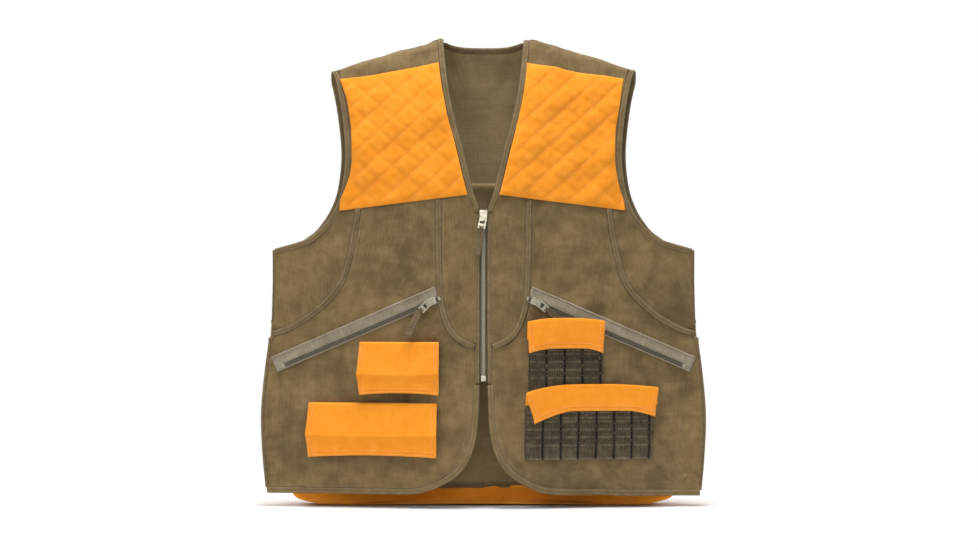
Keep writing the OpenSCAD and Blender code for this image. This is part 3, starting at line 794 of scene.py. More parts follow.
# How far the seam tapes run on past their nodes, under the hem and the patch.
SEAM_FOOT, SEAM_HEAD = 6 * MM, {"bib_seam": 2.5 * MM, "side_seam": 9 * MM}
for side, s in SIDES.items():
    for seam, head in SEAM_HEAD.items():
        c, w, o = strip_line(*tapes(f"{side}_{seam}")[0], FRONT)
        more = (SEAM_FOOT, head) if c[0][2] < c[-1][2] else (head, SEAM_FOOT)
        c = tuck(c[:, None], rows=more)[:, 0]
        w, o = (np.concatenate([q[:1], q, q[-1:]]) for q in (w, o))
        edge_tape(f"{side}_{seam}_tape", drape(c, o) + OUTWARDS * 0.4 * MM, w, o, "vest", [f"{side}_{seam}"],
                  1.27, 1.7 * MM, (-0.7, 0.7))
    # The armhole tape runs up the front edge, over the shoulder and down the back edge.
    armhole = f"{side}_armhole_binding"
    front = max(tapes(armhole), key=lambda e: len(e[0]) + (e[0][:, 1].mean() < 0))
    behind = max(tapes(armhole, BACK), key=lambda e: len(e[0]) + (e[0][:, 1].mean() > 0))
    f1, f2 = front if front[0][0][2] <= front[0][-1][2] else (q[::-1] for q in front)
    b1, b2 = (q[::-1] for q in behind) if behind[0][0][2] <= behind[0][-1][2] else behind
    c1, w1, o1 = strip_line(f1, f2, FRONT)
    c2, w2, o2 = strip_line(b1, b2, BACK)
    keep = np.abs(c2[:, 0]) < abs(c1[0][0]) - 0.5 * MM
    c2, w2, o2 = c2[keep], w2[keep], o2[keep]
    tip = (c1[-1] + c2[0]) / 2 + UP * 1.5 * MM
    c = np.concatenate([c1[:-1], tip[None], c2[1:]])
    w = np.concatenate([w1[:-1], ((w1[-1] + w2[0]) / 2)[None], w2[1:]])
    o = np.concatenate([o1[:-1], UP[None], o2[1:]])
    edge_tape(f"{side}_armhole_tape", drape(c, o), w, o, "vest", [armhole], 1.15, 1.6 * MM, (-0.6 * s,))

one, two = max(tapes("neck_binding"), key=lambda e: len(e[0]))
centre = (one + two) / 2
half = np.linalg.norm(two - one, axis=1).mean() / 2
out = unit(np.cross(np.gradient(centre, axis=0), two - one))
out *= 1 if out[0] @ FRONT > 0 else -1
widths = np.full(len(centre), half)
centre = drape(centre, out)
# The tape narrows as it runs on down both edges to the top of the slider.
for end in (0, -1):
    tip, way = centre[end], np.sign(centre[end][0])
    foot = lay(way * 14 * MM, slider_top - 3 * MM, 0.3 * MM)[0]
    foot[0] = way * (open_neck(foot[2]) + 3.0 * MM)
    more = np.array([tip + (foot - tip) * t for t in (0.34, 0.67, 1.0)])
    wide = half + (3.1 * MM - half) * np.array([0.4, 0.75, 1.0])
    if end == 0:
        more, wide = more[::-1], wide[::-1]
    parts = [(more, centre), (wide, widths), (np.array([out[end]] * 3), out)]
    centre, widths, out = (np.concatenate(p if end == 0 else p[::-1]) for p in parts)
along = unit(np.gradient(centre, axis=0))
edge_tape("neck_tape", centre, unit(np.cross(out, along)) * widths[:, None], out, "vest", ["neck_binding"],
          1.15, 1.6 * MM, (0.6,))


def inset(g, d):
    """Points a distance d in from the first column of a grid, one for each row."""
    u = lengths(g)[0]
    return np.array([[np.interp(d, u[j], g[j, :, k]) for k in range(3)] for j in range(len(g))])


ZIP_FOOT = 177 * MM        # below it the fronts part and their edges are bound
# A row of stitches down the side: its heights, and how far in from the side edge it is at each.
SIDE_ROW = np.array([(29, 37), (63, 33), (122, 31), (187, 16), (226, 3)]) * MM
for side, s in SIDES.items():
    g = finer(sheet(f"{side}_front_panel"), 4.5 * MM)
    g = g if s > 0 else g[:, ::-1]
    below = g[g[:, 0, 2] < ZIP_FOOT]
    edge = evenly(np.concatenate([below[:0:-1, 0], g[0, :]]), 7 * MM)
    edge[:, 2] += hem_rise(edge, s)
    for _ in range(8):
        edge[1:-1] = (edge[:-2] + 2 * edge[1:-1] + edge[2:]) / 4
    inside = np.abs(edge[:, 0]).max() - 7 * MM
    n = np.array([lay(s * min(abs(p[0]) + 4 * MM, inside), p[2] + 4 * MM)[1] for p in edge])
    n = unit(n + np.roll(n, 1, 0) + np.roll(n, -1, 0))
    n[0], n[-1] = n[1], n[-2]
    along = unit(np.gradient(edge, axis=0))
    away = unit(np.cross(n, along)) * s
    away *= 1 if away[0][0] * s < 0 else -1
    edge_tape(f"{side}_hem_tape", drape(edge, n) + away * 3.3 * MM, away * 4.4 * MM, n, "vest",
              [f"{side}_hem_binding"], 1.0, 1.5 * MM, (-0.66,))
    # The rolled edge beside the zip.
    path = np.array([lay(s * 15 * MM, z, 0.1 * MM) for z in np.arange(ZIP_FOOT - 3 * MM, slider_top, 6 * MM)])
    path[:, 0, 0] = s * 8.6 * MM
    edge_tape(f"{side}_zip_facing", path[:, 0], np.array([s * 3.0 * MM * ACROSS] * len(path)), path[:, 1],
              "vest", [], 1.0, 1.1 * MM, (0.75,))
    row = inset(below, 9 * MM)[4:]
    row[:, 2] += hem_rise(row, s)
    stitch_over(row[:, [0, 2]], 4 * MM)
    side_edge = g[:, -1][g[:, -1, 2] < 232 * MM]
    edge_x = np.interp(SIDE_ROW[:, 0], side_edge[:, 2], np.abs(side_edge[:, 0]))
    stitch_over([(s * (x - d), z) for x, (z, d) in zip(edge_x, SIDE_ROW)], 4 * MM)


# The side seams join the fronts to the back below the armholes.
behind = sheet("back_panel", BACK)
for side, s in SIDES.items():
    lower, upper = (sheet(f"{side}_{part}")[:, -1 if s > 0 else 0] for part in ("front_panel", "side_panel"))
    upper = upper[np.abs(upper[:, 0]) > 295 * MM]
    fronts = np.concatenate([lower[lower[:, 2] < upper[:, 2].min() - 2 * MM], upper])
    side_heights, side_x = fronts[:, 2], np.abs(fronts[:, 0])
    backs = behind[:, np.argmax(behind[0, :, 0] * s)]
    heights = np.arange(backs[0, 2] + 1 * MM, fronts[-1, 2] - 3 * MM, 8 * MM)
    y1, y2 = (np.interp(heights, q[:, 2], q[:, 1]) for q in (fronts, backs))
    x = np.interp(heights, side_heights, side_x) - 1.0 * MM
    centre = np.stack([s * x, (y1 + y2) / 2, heights], axis=1)
    half = np.abs(y2 - y1).mean() / 2 + 2.5 * MM
    edge_tape(f"{side}_side_join", centre, np.array([(0, half, 0)] * len(x)), np.array([s * ACROSS] * len(x)),
              "vest", [], 1.0, 0.9 * MM, (0.0,))


# ---- back -------------------------------------------------------------------

settling = Settling()
for node in ("back_panel", "back_yoke"):
    g = finer(tuck(sheet(node, BACK), (0, 0), (3 * MM, 3 * MM if node == "back_yoke" else 1.5 * MM)), 8 * MM)
    settling.add(node, g, np.clip(1.4 - from_edge(g) / (9 * MM), 0, 1), 0.25, 0.012, 1.5 * MM, BACK)


# ---- shooting patches -------------------------------------------------------

QUILT = ((math.radians(42), 25 * MM, 1.0), (math.radians(-40), 27 * MM, 0.7))


def quilt_gap(g, angle, pitch):
    """Distance of each point from the nearest quilting line of one family."""
    across = -g[..., 0] * math.sin(angle) + g[..., 2] * math.cos(angle)
    return np.abs((across / pitch) % 1 - 0.5) * pitch


# How far each patch's outer edge reaches towards the armhole tape at its foot and its head.
PATCH_REACH = {"right": (9 * MM, 3.5 * MM), "left": (4 * MM, -3 * MM)}
for side, s in SIDES.items():
    node = f"{side}_shooting_patch"
    g = finer(sheet(node), 3.2 * MM)
    reaches = np.abs(g).reshape(-1, 3)
    (near, _, low_z), (far, _, high_z) = reaches.min(axis=0), reaches.max(axis=0)
    outer = smooth((np.abs(g[..., 0]) - near) / (far - near))
    foot, head = smooth(1 - (g[..., 2] - low_z) / (70 * MM)), smooth(1 - (high_z - g[..., 2]) / (60 * MM))
    row = unit(np.gradient(g, axis=1))
    at_foot, at_head = PATCH_REACH[side]
    g = g + row * np.sign(row[..., :1]) * s * (outer * (foot * at_foot + head * at_head))[..., None]
    g[..., 2] -= outer * head * 5 * MM
    n = grid_normals(g, FRONT)
    g = drape(g, n) - n * 4.6 * MM
    puff = np.ones(g.shape[:2])
    pin = smooth(1.3 - from_edge(g) / (3.2 * MM))
    for angle, pitch, strong in QUILT:
        gap = quilt_gap(g, angle, pitch)
        puff *= 1 - strong * np.exp(-(gap / (3.4 * MM)) ** 2) * 0.8
        pin = np.maximum(pin, strong * smooth(1.5 - gap / (1.5 * MM)))
    rim = smooth(from_edge(g) / (8 * MM))
    g = g + n * ((1.7 + 1.9 * puff * rim + 0.6 * waves(g, 0.06, 21)) * MM)[..., None]
    settling.add(node, g, pin, 2.0, 0.008, 0.6 * MM)


# ---- game bag ---------------------------------------------------------------

wall = corners("game_bag_wall")
lean = math.radians(4)
bag_out = np.array([0, math.cos(lean), math.sin(lean)])
face = wall[wall @ bag_out > (wall @ bag_out).max() - 0.2 * MM]
right_rim = face[face[:, 0] > 0]
right_rim = right_rim[np.argsort(right_rim[:, 2])]
rows = np.linspace(right_rim[0, 2], right_rim[-1, 2], 44)
half_w = np.interp(rows, right_rim[:, 2], right_rim[:, 0])
face_y = np.interp(rows, right_rim[:, 2], right_rim[:, 1])
g = np.array([[(x * h, y, z) for x in np.linspace(-1, 1, 72)] for z, h, y in zip(rows, half_w, face_y)])
n = grid_normals(g, BACK)
rim = smooth(from_edge(g) / (60 * MM))
g = g + n * ((2.2 * waves(g, 0.13, 31) + 1.0 * waves(g, 0.05, 32)) * rim * MM)[..., None]
settling.add("game_bag_wall", g, np.clip(1.5 - from_edge(g) / (10 * MM), 0, 1), 1.0, 0.015, 6 * MM, BACK)


# ---- the settled cloth ------------------------------------------------------

settled = settling.run()
armhole_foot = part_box("right_armhole_binding")[0][2] + 6 * MM
back_shell = []
for node in ("back_panel", "back_yoke"):
    g = finer(settled[node], 5 * MM)
    n = grid_normals(g, BACK)
    rim = smooth(from_edge(g) / (50 * MM))
    g = drape(g, n) + n * ((0.9 + 1.8 * waves(g, 0.10, 33) * rim) * MM)[..., None]
    g = tuck(g, (5 * MM, 5 * MM))
    for edge, inside in ((0, 1), (-1, -2)):      # below the armholes the edge is not tucked
        low_part = g[:, edge, 2:] < armhole_foot
        g[:, edge] = np.where(low_part, g[:, inside] * 0.92 + g[:, edge] * 0.08, g[:, edge])
    if node == "back_yoke":
        g[..., 1] += 0.9 * MM
    # Just under the armholes nothing of the back shows past the fronts' own side edges.
    reach = np.interp(g[:, 0, 2], side_heights, side_x)
    squeeze = np.minimum(1, reach / np.abs(g[:, [0, -1], 0]).max(axis=1))
    g[..., 0] *= (1 - (1 - squeeze) * smooth((g[:, 0, 2] - 312 * MM) / (10 * MM)))[:, None]
    back_shell.append(cloth(node + "_cloth", g, 1.7 * MM, "canvas_inside", "vest", [node], BACK))
back_tree = tree_of(back_shell)
yoke_foot, seam_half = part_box("back_yoke")[0][2], 186 * MM
for dz in (0.5, 5.5):
    stitch_over([(x, yoke_foot + dz * MM) for x in (-seam_half, 0, seam_half)], 5 * MM, back_tree, -1)
low = sheet("back_panel", BACK)[0]
for side, s in SIDES.items():
    edge = evenly(low[low[:, 0] * s > -1e-6] if s > 0 else low[low[:, 0] <= 1e-6][::-1], 6 * MM)
    n = np.array([lay(p[0], p[2] + 2 * MM, 0, back_tree, -1)[1] for p in edge])
    edge_tape(f"{side}_back_hem_tape", drape(edge, n) - UP * 3.2 * MM - n * 0.8 * MM,
              np.array([UP] * len(edge)) * 4.4 * MM, n, "vest", [], 1.0, 1.6 * MM, (0.66,))

for side in SIDES:
    node = f"{side}_shooting_patch"
    g = settled[node].copy()
    g[1:-1, 1:-1] = (g[:-2, 1:-1] + g[2:, 1:-1] + g[1:-1, :-2] + g[1:-1, 2:] + 2 * g[1:-1, 1:-1]) / 6
    g = finer(g, 1.8 * MM)
    patch = cloth(node + "_quilt", g, 1.6 * MM, "quilted_orange", "vest", [node], wear_w=3 * MM)
    patch_tree = tree_of([patch])
    # Thread shows along one family of the quilting lines.
    angle, pitch, _ = QUILT[0]
    way = np.array([math.cos(angle), math.sin(angle)])
    cross = np.array([-math.sin(angle), math.cos(angle)])
    flat = g[..., ::2].reshape(-1, 2)
    middle = (flat.min(axis=0) + flat.max(axis=0)) / 2
    first = round((middle @ cross) / pitch - 0.5) + 0.5
    for k in range(-8, 9):
        start = cross * (first + k) * pitch + way * (middle @ way)
        row = []
        for t in np.arange(-0.2, 0.2, 3.0 * MM):
            x, z = start + way * t
            place, m, _, _ = patch_tree.ray_cast(Vector((x, -0.3, z)), Vector((0, 1, 0)))
            if place is not None:
                row.append((place, -m if m[1] > 0 else m))
        if len(row) > 4:
            p, m = (np.array(q) for q in zip(*row))
            stitch_line(p - m * 0.1 * MM, m, "vest", "thread_orange", 3.4 * MM)

g = finer(settled["game_bag_wall"], 5 * MM)
cloth("game_bag_wall_cloth", g, 1.8 * MM, "orange_cloth", "game_bag_wall", ["game_bag_wall"], BACK)
n = grid_normals(g, BACK)
low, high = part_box("game_bag_binding")
line = np.array([[x, (low[1] + high[1]) / 2 - 0.4 * MM, (low[2] + high[2]) / 2]
                 for x in np.linspace(low[0], high[0], 60)])
edge_tape("game_bag_top_tape", line, np.array([[0, -math.sin(lean), math.cos(lean)]] * 60) * 5 * MM,
          np.array([bag_out] * 60), "game_bag_wall", ["game_bag_binding"], 1.0, 2.2 * MM, (-0.7, 0.7))
for j in (5, 6):
    stitch_line(g[j, 4:-4] + n[j, 4:-4] * 0.3 * MM, n[j, 4:-4], "game_bag_wall", "thread_orange")

# The gusset runs round the wall's foot and sides; a fold lets the bag open.
gusset_low, gusset_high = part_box("game_bag_gusset")
ring = np.concatenate([right_rim[::-1] * (-1, 1, 1), right_rim])
ring = ring[ring[:, 2] < gusset_high[2]]
ring = evenly(ring, 6 * MM)
heart_z = 0.12             # its folds point to the middle of the bag at this height
depth = np.linspace(0, 1, 15)
g = []
for p in ring:
    inwards = unit(np.array([-p[0], 0, heart_z - p[2]]))
    near = p - bag_out * 1.6 * MM + inwards * 1.4 * MM
    far = np.array([p[0], gusset_low[1] + 0.6 * MM, p[2]]) + inwards * 2.2 * MM
    g.append([near + (far - near) * t + inwards * math.sin(math.pi * t) ** 2 * 7 * MM for t in depth])
g = np.array(g)
wobble = waves(g, 0.06, 41) * np.sin(np.pi * depth)[None]
g = g + UP * (1.2 * wobble * MM)[..., None] * smooth((g[..., 2:] - 0.01) / 0.03)
gusset = cloth("game_bag_gusset_cloth", g, 1.5 * MM, "orange_cloth", "", ["game_bag_gusset"], -UP)
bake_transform(gusset)

g = tuck(finer(sheet("game_bag_apron", BACK), 4 * MM), (0, 0), (2.5 * MM, 6 * MM))
g = finer(g, 3 * MM)
n = grid_normals(g, BACK)
g = g + n * (1.3 * waves(g, 0.07, 43) + 0.4 * waves(g, 0.025, 44))[..., None] * MM
cloth("game_bag_apron_cloth", g, 1.6 * MM, "orange_cloth", "vest", ["game_bag_apron"], BACK)
row = int(len(g) * 0.3)
stitch_line(g[row, 3:-3] - n[row, 3:-3] * 1.9 * MM, -n[row, 3:-3], "vest", "thread_orange")


# ---- shell loops ------------------------------------------------------------

LOOP_PITCH, STRIP_HEIGHT = 25.5 * MM, 72          # the strip's height and all heights on it in mm
SMOCKED = ((21.6, 30), (33, 41), (44, 52))        # the gathered rows: from, to
RIDGES = (20, 31.5, 42.5, 53.5)                   # the flat ridges between them


def band(heights, middle, half):
    """1 at a height and falling away on both sides of it."""
    return np.exp(-((heights - middle) / half) ** 2)


for side, s in SIDES.items():
    for level in ("upper", "lower"):
        node = f"{side}_{level}_loops"
        g = finer(sheet(node), 1.1 * MM)
        if s < 0:       # these stay hidden behind their flaps
            g[..., 2] += 7 * MM * np.linspace(1, 0, len(g))[:, None]
        n = grid_normals(g, FRONT)
        g = drape(g, n)
        u, v = lengths(g)
        if s < 0:
            u = u[:, -1:] - u
        heights = v / v[-1:] * STRIP_HEIGHT
        cell = (u / LOOP_PITCH) % 1
        bulge = np.sqrt(np.clip(1 - (2 * cell - 1) ** 4, 0, 1))
        gather = np.zeros_like(u)
        for low_v, high_v in SMOCKED:
            row = smooth((heights - low_v) / 1.2) * smooth((high_v - heights) / 1.2)
            sway = 0.9 * MM * np.sin(heights * 0.9)
            gather += row * (0.75 * np.sin((u + sway) * 2 * math.pi / (3.4 * MM)) - 0.35)
        ridge = sum(band(heights, h, 0.8) for h in RIDGES)
        relief = 3.4 * bulge * smooth(cell * 9) * smooth((1 - cell) * 9) + gather + 0.45 * ridge * bulge
        relief += 0.12 * np.sin(heights * 2 * math.pi / 2.4) + 0.5 * band(heights, 1.5, 1.1)
        # painted highlight on the loops' crests, on the gathers' crests and on the flat bands
        painted_highlight = np.clip(ridge * 0.9 + np.clip(gather, 0, 1) * 2.2 + band(heights, 1.5, 0.9), 0, 1)
        painted_highlight = np.clip(painted_highlight + band(heights, 58.5, 1.0) + band(heights, 66, 1.2), 0, 1) * bulge
        # painted shade in the gaps between loops and in the gathers' troughs
        dips = 0.95 * band(np.minimum(cell, 1 - cell) * LOOP_PITCH, 0, 1.5 * MM)
        dips = np.maximum(dips, np.clip(-gather - 0.25, 0, 1) * 0.75)
        g = g + n * ((relief - 2.9) * MM)[..., None]
        cloth(node + "_elastic", g, 1.1 * MM, "elastic", "vest", [node], wear_w=2 * MM, painted_highlight=painted_highlight,
              dips=dips)


# ---- zips -------------------------------------------------------------------


def bars(name, places, across, along, out, size, kind, body, nodes):
    """Small rounded blocks, one at each place. size is half across, along and out."""
    section = [(1, 0), (0.72, 0.72), (0, 1), (-0.72, 0.72), (-1, 0), (-0.72, -0.72), (0, -1), (0.72, -0.72)]
    verts, faces = [], []
    wide, long, high = across * size[0], along * size[1], out * size[2]
    for p in places:
        base = len(verts)
        for t, k in ((-1, 0.7), (-0.75, 1), (0.75, 1), (1, 0.7)):
            verts += [p + wide * t + long * a * k + high * b * k for a, b in section]
        faces += [tuple(base + 8 * (r + up) + (j + on) % 8 for up, on in ((0, 0), (0, 1), (1, 1), (1, 0)))
                  for r in range(3) for j in range(8)]
        faces += [tuple(base + end + j for j in range(8)) for end in (0, 24)]
    make_piece(name, verts, faces, kind, body, nodes)


low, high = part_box("zip_chain")
pitch, tooth_y = 2.2 * MM, (low[1] + high[1]) / 2 - 0.7 * MM
teeth = [np.array([s * 1.2 * MM, tooth_y, low[2] + pitch * (i + 0.3 + 0.25 * s)])
         for i in range(int((high[2] - low[2]) / pitch)) for s in (-1, 1)]
bars("zip_chain_teeth", teeth, ACROSS, UP, OUTWARDS, (1.5 * MM, 0.6 * MM, 1.1 * MM), "zip_teeth", "vest",
     ["zip_chain"])
for side, s in SIDES.items():
    node = f"{side}_zip_tape"
    low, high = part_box(node)
    inner, outer = (low[0], high[0]) if s > 0 else (high[0], low[0])
    web = (np.linspace(inner - s * 1.2 * MM, outer, 7), low[1] + 0.2 * MM, low[2], slider_top + 1 * MM)
    cord = (s * np.linspace(3.0, 4.4, 5) * MM, low[1] - 0.5 * MM, low[2] + 8 * MM, slider_top - 4 * MM)
    for part, thick, stands_for, (across, y, foot, head) in (("web", 0.9 * MM, [node], web),
                                                             ("cord", 1.2 * MM, [], cord)):
        g = np.array([[(x, y, z) for x in across] for z in np.linspace(foot, head, 60)])
        cloth(f"{node}_{part}", g, thick, "zip_tape_dark", "vest", stands_for, wear_w=1 * MM)

    node = f"{side}_pocket_tape"
    slide = np.array(joint[f"{side}_pocket_slide"]["axis"])
    points = corners(node)
    middle = points.mean(axis=0)
    out = unit(np.cross(slide * (1, 1, 0), UP))
    out *= -1 if out[1] > 0 else 1
    across = unit(np.cross(slide, out))
    across *= 1 if across[2] > 0 else -1
    a, l = (points - middle) @ across, (points - middle) @ slide
    coil = corners(f"{side}_pocket_coil") - middle
    coil_a, lift = (coil @ across).mean(), (coil @ out).mean()
    low_q, high_q = (coil @ slide).min(), (coil @ slide).max()
    g = []
    for t in np.linspace(a.min(), a.max(), 17):
        row = []
        for q in np.linspace(l.min(), l.max(), 90):
            p = middle + slide * q + across * t
            down = smooth((abs(t - coil_a) - 3.5 * MM) / (8 * MM))
            ends = smooth(1 - min(q - l.min(), l.max() - q) / (6 * MM))
            on, _ = lay(p[0], p[2], 1.0 * MM)
            row.append(p + out * 0.45 * MM + (on - p) * max(down * 0.92, ends))
        g.append(row)
    g = np.array(g)
    g = g if s > 0 else g[:, ::-1]
    cloth(node + "_web", g, 0.8 * MM, "zip_tape_light", "vest", [node], wear_w=2 * MM)
    places = [middle + slide * q + across * (coil_a + t * MM) + out * lift
              for q in np.arange(low_q, high_q, 1.75 * MM) for t in (-1.6, 1.6)]
    bars(f"{side}_pocket_coil_turns", places, unit(across + 0.18 * slide), slide, out,
         (1.0 * MM, 0.7 * MM, 0.8 * MM), "zip_coil", "vest", [f"{side}_pocket_coil"])
    for t in (-4.6 * MM, 4.6 * MM):
        line = np.array([middle + slide * q + across * (coil_a + t) + out * 0.9 * MM
                         for q in np.linspace(low_q, high_q, 60)])
        stitch_line(line, np.array([out] * 60), pitch=3 * MM)
    line = [middle + slide * q + across * (a.max() - 2.2 * MM) for q in np.linspace(l.min(), l.max(), 50)]
    places, ways = (np.array(q) for q in zip(*(lay(p[0], p[2], 2.0 * MM) for p in line)))
    stitch_line(places, ways, pitch=3 * MM)

for side in SIDES:
    node = f"{side}_pocket_bag"
    g = finer(sheet(node), 6 * MM)
    n = grid_normals(g, FRONT)
    cloth(node + "_cloth", drape(g, n) - n * 1.5 * MM, 1.2 * MM, "canvas", "vest", [node])


# ---- metal and pull tabs ----------------------------------------------------

METAL = ["zip_box", "main_slider", "main_pull", "hem_rivet"]
METAL += [f"{side}_pocket_{part}" for side in SIDES for part in ("stops", "slider", "pull")]
for node in METAL:
    obj = frame["nodes"][node]
    obj.data.materials.clear()
    obj.data.materials.append(mats["old_brass" if node == "hem_rivet" else "nickel"])
    obj.modifiers.new("weld", "WELD").merge_threshold = 0.01 * MM
    bevel = obj.modifiers.new("bevel", "BEVEL")
    bevel.width, bevel.segments, bevel.limit_method = 0.3 * MM, 2, "ANGLE"


def tab_piece(node, body):
    """A woven pull tab: the CAD tab with soft edges, and stitches round its strip."""
    bm = bmesh.new()
    bm.from_mesh(frame["nodes"][node].data)
    bmesh.ops.remove_doubles(bm, verts=bm.verts, dist=0.01 * MM)
    bmesh.ops.dissolve_limit(bm, angle_limit=0.02, verts=bm.verts, edges=bm.edges)
    sharp = [e for e in bm.edges if len(e.link_faces) == 2 and e.calc_face_angle(0) > 0.5]
    bmesh.ops.bevel(bm, geom=sharp, offset=0.35 * MM, segments=2, affect="EDGES", profile=0.6)
    bmesh.ops.triangulate(bm, faces=bm.faces)
    verts = np.array([v.co for v in bm.verts])
    faces = [[v.index for v in f.verts] for f in bm.faces]
    bm.free()
    middle = verts.mean(axis=0)
    _, _, axes = np.linalg.svd(verts - middle)
    along, across, out = axes
    out = out * (1 if out @ OUTWARDS > 0 else -1)
    uv = np.stack([(verts - middle) @ across, (verts - middle) @ along], axis=1)
    wear = np.clip((np.abs(uv[:, 0]) - 2.5 * MM) / (2.5 * MM), 0, 1)
    make_piece(node + "_webbing", verts, faces, "pull_tab", body, [node], False, uv, wear)
    down = along * (1 if along[2] < 0 else -1)
    reach = (verts - middle) @ down
    strip = verts[np.abs(reach - reach.mean()) < 9 * MM]
    base = middle + out * (((strip - middle) @ out).max() + 0.05 * MM)
    places = np.linspace(reach.min() + 13 * MM, reach.max() - 4 * MM, 8)
    for t in (-2.9, 2.9):
        line = np.array([base + across * t * MM + down * q for q in places])
        stitch_line(line, np.array([out] * 8), body, pitch=2.6 * MM)


tab_piece("main_tab", "main_tab")
for side in SIDES:
    tab_piece(f"{side}_pocket_tab", f"{side}_pocket_tab")


# ---- flaps ------------------------------------------------------------------

# Foot arch, how far the crease and the foot droop at their inner and outer
# corners, and how far those corners draw in, in mm.
FLAPS = {
    "right_upper": (3, (0, 0), (3, 3), (0, 0)), "right_lower": (3, (0, 0), (3, 3), (0, 0)),
    "left_upper": (3, (3, 2), (4.4, 5.5), (1, 3)), "left_lower": (7, (9, 3), (14, 7), (11, 5)),
}


def flap_section(folded, crease, foot):
    """The section of a flap from its seam round its crease to its foot, as (out, up)."""
    if folded:          # up from the seam, over the crease and down in front
        points = [(0.4 * MM, -0.5 * MM), crease * 0.5]
        bends = ((0.1, -1.5), (0.9, 0.8), (2.3, 0.9), (3.4, -1.6), (3.9, -8))
        tail = [foot + (0.9 * MM, 0)]
    else:               # down from the seam, out to the crease and back in to the foot
        points = [(0, 0.8 * MM), (0.8 * MM, -1.0 * MM), crease * 0.5 + (0.6 * MM, 0)]
        bends = ((0.9, 3), (1.7, 0.4), (1.0, -2.0))
        tail = [(crease[0] - 1.4 * MM, crease[1] * 0.6 + 0.4 * foot[1]), foot - (0.4 * MM, 0)]
    return np.array(points + [crease + np.array(b) * MM for b in bends] + tail)


for key, (arch, droop, corner, draw_in) in FLAPS.items():
    s = SIDES[key.split("_")[0]]
    name = key + "_flap"
    end_name = name + "_end"
    seam, crease = joint[name + "_seam"], joint[name + "_crease"]
    origin = np.array(seam["pos_m"])
    along = unit(np.array(seam["axis"]))
    along = along * (1 if along[0] * s > 0 else -1)
    out = unit(np.cross(along, UP))
    out = out * (1 if out[1] < 0 else -1)
    arm = np.array(crease["pos_m"]) - origin
    crease_at = np.array([arm @ out, arm[2]])
    width = ((corners(name) - origin) @ along).max()
    end = corners(end_name) - origin
    foot_up = end[:, 2].min()
    foot_at = np.array([np.median(end[end[:, 2] < foot_up + 9 * MM] @ out), foot_up])
    folded = crease_at[1] > 0

    line = evenly(flap_section(folded, crease_at, foot_at), 2.4 * MM)
    run = np.concatenate([[0], np.cumsum(np.linalg.norm(np.diff(line, axis=0), axis=1))])
    turn = run[np.argmax(line[:, 1]) if folded else np.argmin(np.abs(line[:, 1] - crease_at[1]))]
    cols = max(12, int(width / (3 * MM)))
    f, r = np.meshgrid(np.linspace(0, 1, cols), run)
    past = smooth((r - turn) / (run[-1] - turn))        # 0 as far as the crease, 1 at the foot
    up = np.repeat(line[:, 1:], cols, axis=1)
    if folded:
        taper = np.zeros_like(r)
        inner, outer = np.clip(1 - f / 0.3, 0, 1) ** 1.3, np.clip((f - 0.8) / 0.2, 0, 1) ** 1.3
        up += (arch - corner[0] * inner - corner[1] * outer) * MM * past
        inner, outer = np.clip(1 - f / 0.35, 0, 1) ** 2, np.clip((f - 0.6) / 0.4, 0, 1) ** 2
        fall = droop[0] * inner + droop[1] * outer - 2.0 * np.sin(math.pi * f)
        up -= fall * MM * smooth(np.where(r < turn, r / turn, 1 - 0.6 * past))
    else:
        taper = np.abs(r - turn) / np.where(r < turn, turn, run[-1] - turn)
        up += (arch * 4 * f * (1 - f) * past - 2.2 * np.sin(math.pi * f) * (1 - taper)) * MM
    first = (0.8 * taper + draw_in[0] * past) * MM
    last = width - (3.6 * taper + draw_in[1] * past) * MM
    sideways = first + (last - first) * f
    g = origin + along * sideways[..., None] + out * line[:, :1, None] + UP * up[..., None]
    free = smooth((run / run[-1] - 0.04) / 0.2)[:, None]
    soft = 0.9 * waves(g * (1, 1, 0.6), 0.05, 51 + len(key)) + 0.35 * waves(g, 0.02, 52)
    g = g + out * (np.clip(soft, -1.2, 1.6) * free * MM * (0.7 if folded else 0.6))[..., None]
    g = g if s > 0 else g[:, ::-1]
    piece = cloth(name + "_cloth", g, 1.5 * MM, "orange_cloth", "", [name, end_name], wear_w=3 * MM)
    at, way = origin + arm, out if folded else UP
    reach = (0.2 * MM, 2.6 * MM) if folded else (6 * MM, -6 * MM)
    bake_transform(piece)

    # Two rows of stitches beside the ends and the foot.
    n = grid_normals(g, FRONT)
    n = n * np.sign(n @ FRONT)[..., None]
    parts = [(end_name, (run > turn + 6 * MM) & (run < run[-1] - 1.5 * MM))]
    if not folded:
        parts.append((name, (run > 2 * MM) & (run < turn - 6 * MM)))
    for d in (2.6 * MM, 7.0 * MM):
        for body, rows in parts:
            for grid, ways in ((g[rows], n[rows, 1]), (g[rows, ::-1], n[rows, -2])):
                stitch_line(inset(grid, d) + ways * 0.25 * MM, ways, body, "thread_orange", 3 * MM)
    for d in (2.4 * MM, 7.5 * MM):
        j = np.interp(run[-1] - d, run, np.arange(len(run)))
        line, ways = curve(g, np.array([j]))[0, 1:-1], n[int(j), 1:-1]
        stitch_line(line + ways * 0.25 * MM, ways, end_name, "thread_orange", 3 * MM)

    # The strip that holds the flap's root out from the shell.
    strip = []
    for t in np.linspace(0, 1, cols):
        root = origin + along * (0.8 * MM + (width - 4.4 * MM) * t)
        on, _ = lay(root[0], root[2] + 1.0 * MM, 0.2 * MM)
        root = root + out * 0.2 * MM + UP * 0.4 * MM
        strip.append([on, on * 0.6 + root * 0.4 + UP * 0.3 * MM, on * 0.2 + root * 0.8 + UP * 0.5 * MM,
                      root, root + UP * (1.2 if folded else -3) * MM - out * 1.6 * MM])
    g = finer(np.array(strip).transpose(1, 0, 2)[::-1], 2.5 * MM)
    cloth(name + "_root", g if s > 0 else g[:, ::-1], 1.2 * MM, "orange_cloth", "vest", wear_w=2 * MM)

make_stitches()


# ---- floor, light and camera ------------------------------------------------

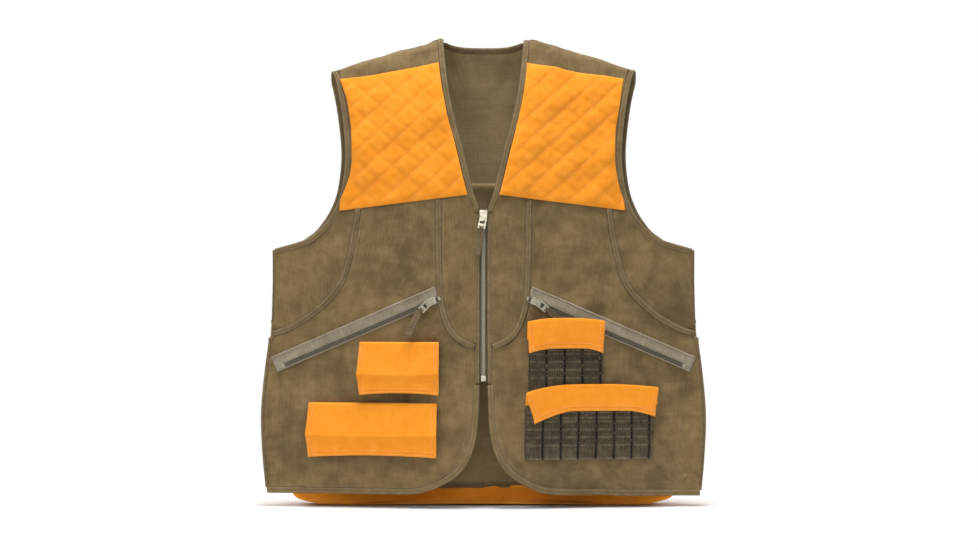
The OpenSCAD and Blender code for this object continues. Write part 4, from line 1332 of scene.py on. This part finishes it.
bpy.ops.mesh.primitive_plane_add(size=16, location=(0, 0, 0))
floor = bpy.context.object
floor.name = "floor"
paint = Nodes("floor")
grey = paint.mix(paint.noise(2.0), (0.80, 0.80, 0.80, 1), (0.84, 0.84, 0.84, 1))
paint.put(grey, paint.bsdf.inputs["Base Color"])
paint.bsdf.inputs["Roughness"].default_value = 0.7
# Away from the vest the floor fades into the white behind it.
away = paint.node("ShaderNodeVectorMath", operation="LENGTH")
paint.put(paint.place(), away.inputs[0])
glow = paint.node("ShaderNodeEmission")
seen = paint.node("ShaderNodeLightPath").outputs["Is Camera Ray"]
paint.put(paint.math("ADD", paint.math("MULTIPLY", seen, 0.5), 0.5), glow.inputs["Strength"])
blended = paint.node("ShaderNodeMixShader")
paint.put(paint.ramp(away.outputs["Value"], 0.45, 1.0), blended.inputs[0])
paint.tree.links.new(paint.bsdf.outputs[0], blended.inputs[1])
paint.tree.links.new(glow.outputs[0], blended.inputs[2])
paint.tree.links.new(blended.outputs[0], paint.tree.nodes["Material Output"].inputs["Surface"])
floor.data.materials.append(paint.mat)

scene = bpy.context.scene
world = bpy.data.worlds.new("studio")
world.use_nodes = True
tree = world.node_tree
seen = tree.nodes.new("ShaderNodeLightPath")
power = tree.nodes.new("ShaderNodeMapRange")
power.inputs["To Min"].default_value, power.inputs["To Max"].default_value = 0.44, 1.0
tree.links.new(seen.outputs["Is Camera Ray"], power.inputs["Value"])
tree.nodes["Background"].inputs["Color"].default_value = (1, 1, 1, 1)
tree.links.new(power.outputs["Result"], tree.nodes["Background"].inputs["Strength"])
scene.world = world
scene.view_settings.view_transform = "Standard"
scene.view_settings.look = "None"

LAMPS = (((-1.6, -2.4, 2.5), 1.2, 36), ((0, -5.6, 1.3), 1.8, 38), ((0.1, -0.7, 3.0), 1.2, 84),
         ((-1.8, 2.6, 2.0), 1.8, 44), ((2.2, 2.2, 1.6), 2.0, 20))
for k, (place, size, power) in enumerate(LAMPS):
    light = bpy.data.lights.new(f"lamp_{k}", "AREA")
    light.shape, light.size, light.energy = "DISK", size, power
    lamp = bpy.data.objects.new(f"lamp_{k}", light)
    lamp.location = place
    lamp.rotation_euler = (Vector((0, 0, 0.33)) - Vector(place)).to_track_quat("-Z", "Y").to_euler()
    scene.collection.objects.link(lamp)

view = bpy.data.cameras.new("camera")
view.sensor_width, view.lens = 36, 118
camera = bpy.data.objects.new("camera", view)
camera.location = (7.7 * MM, -4.5, 0.325)
camera.rotation_euler = (math.pi / 2, 0, 0)
scene.collection.objects.link(camera)
scene.camera = camera
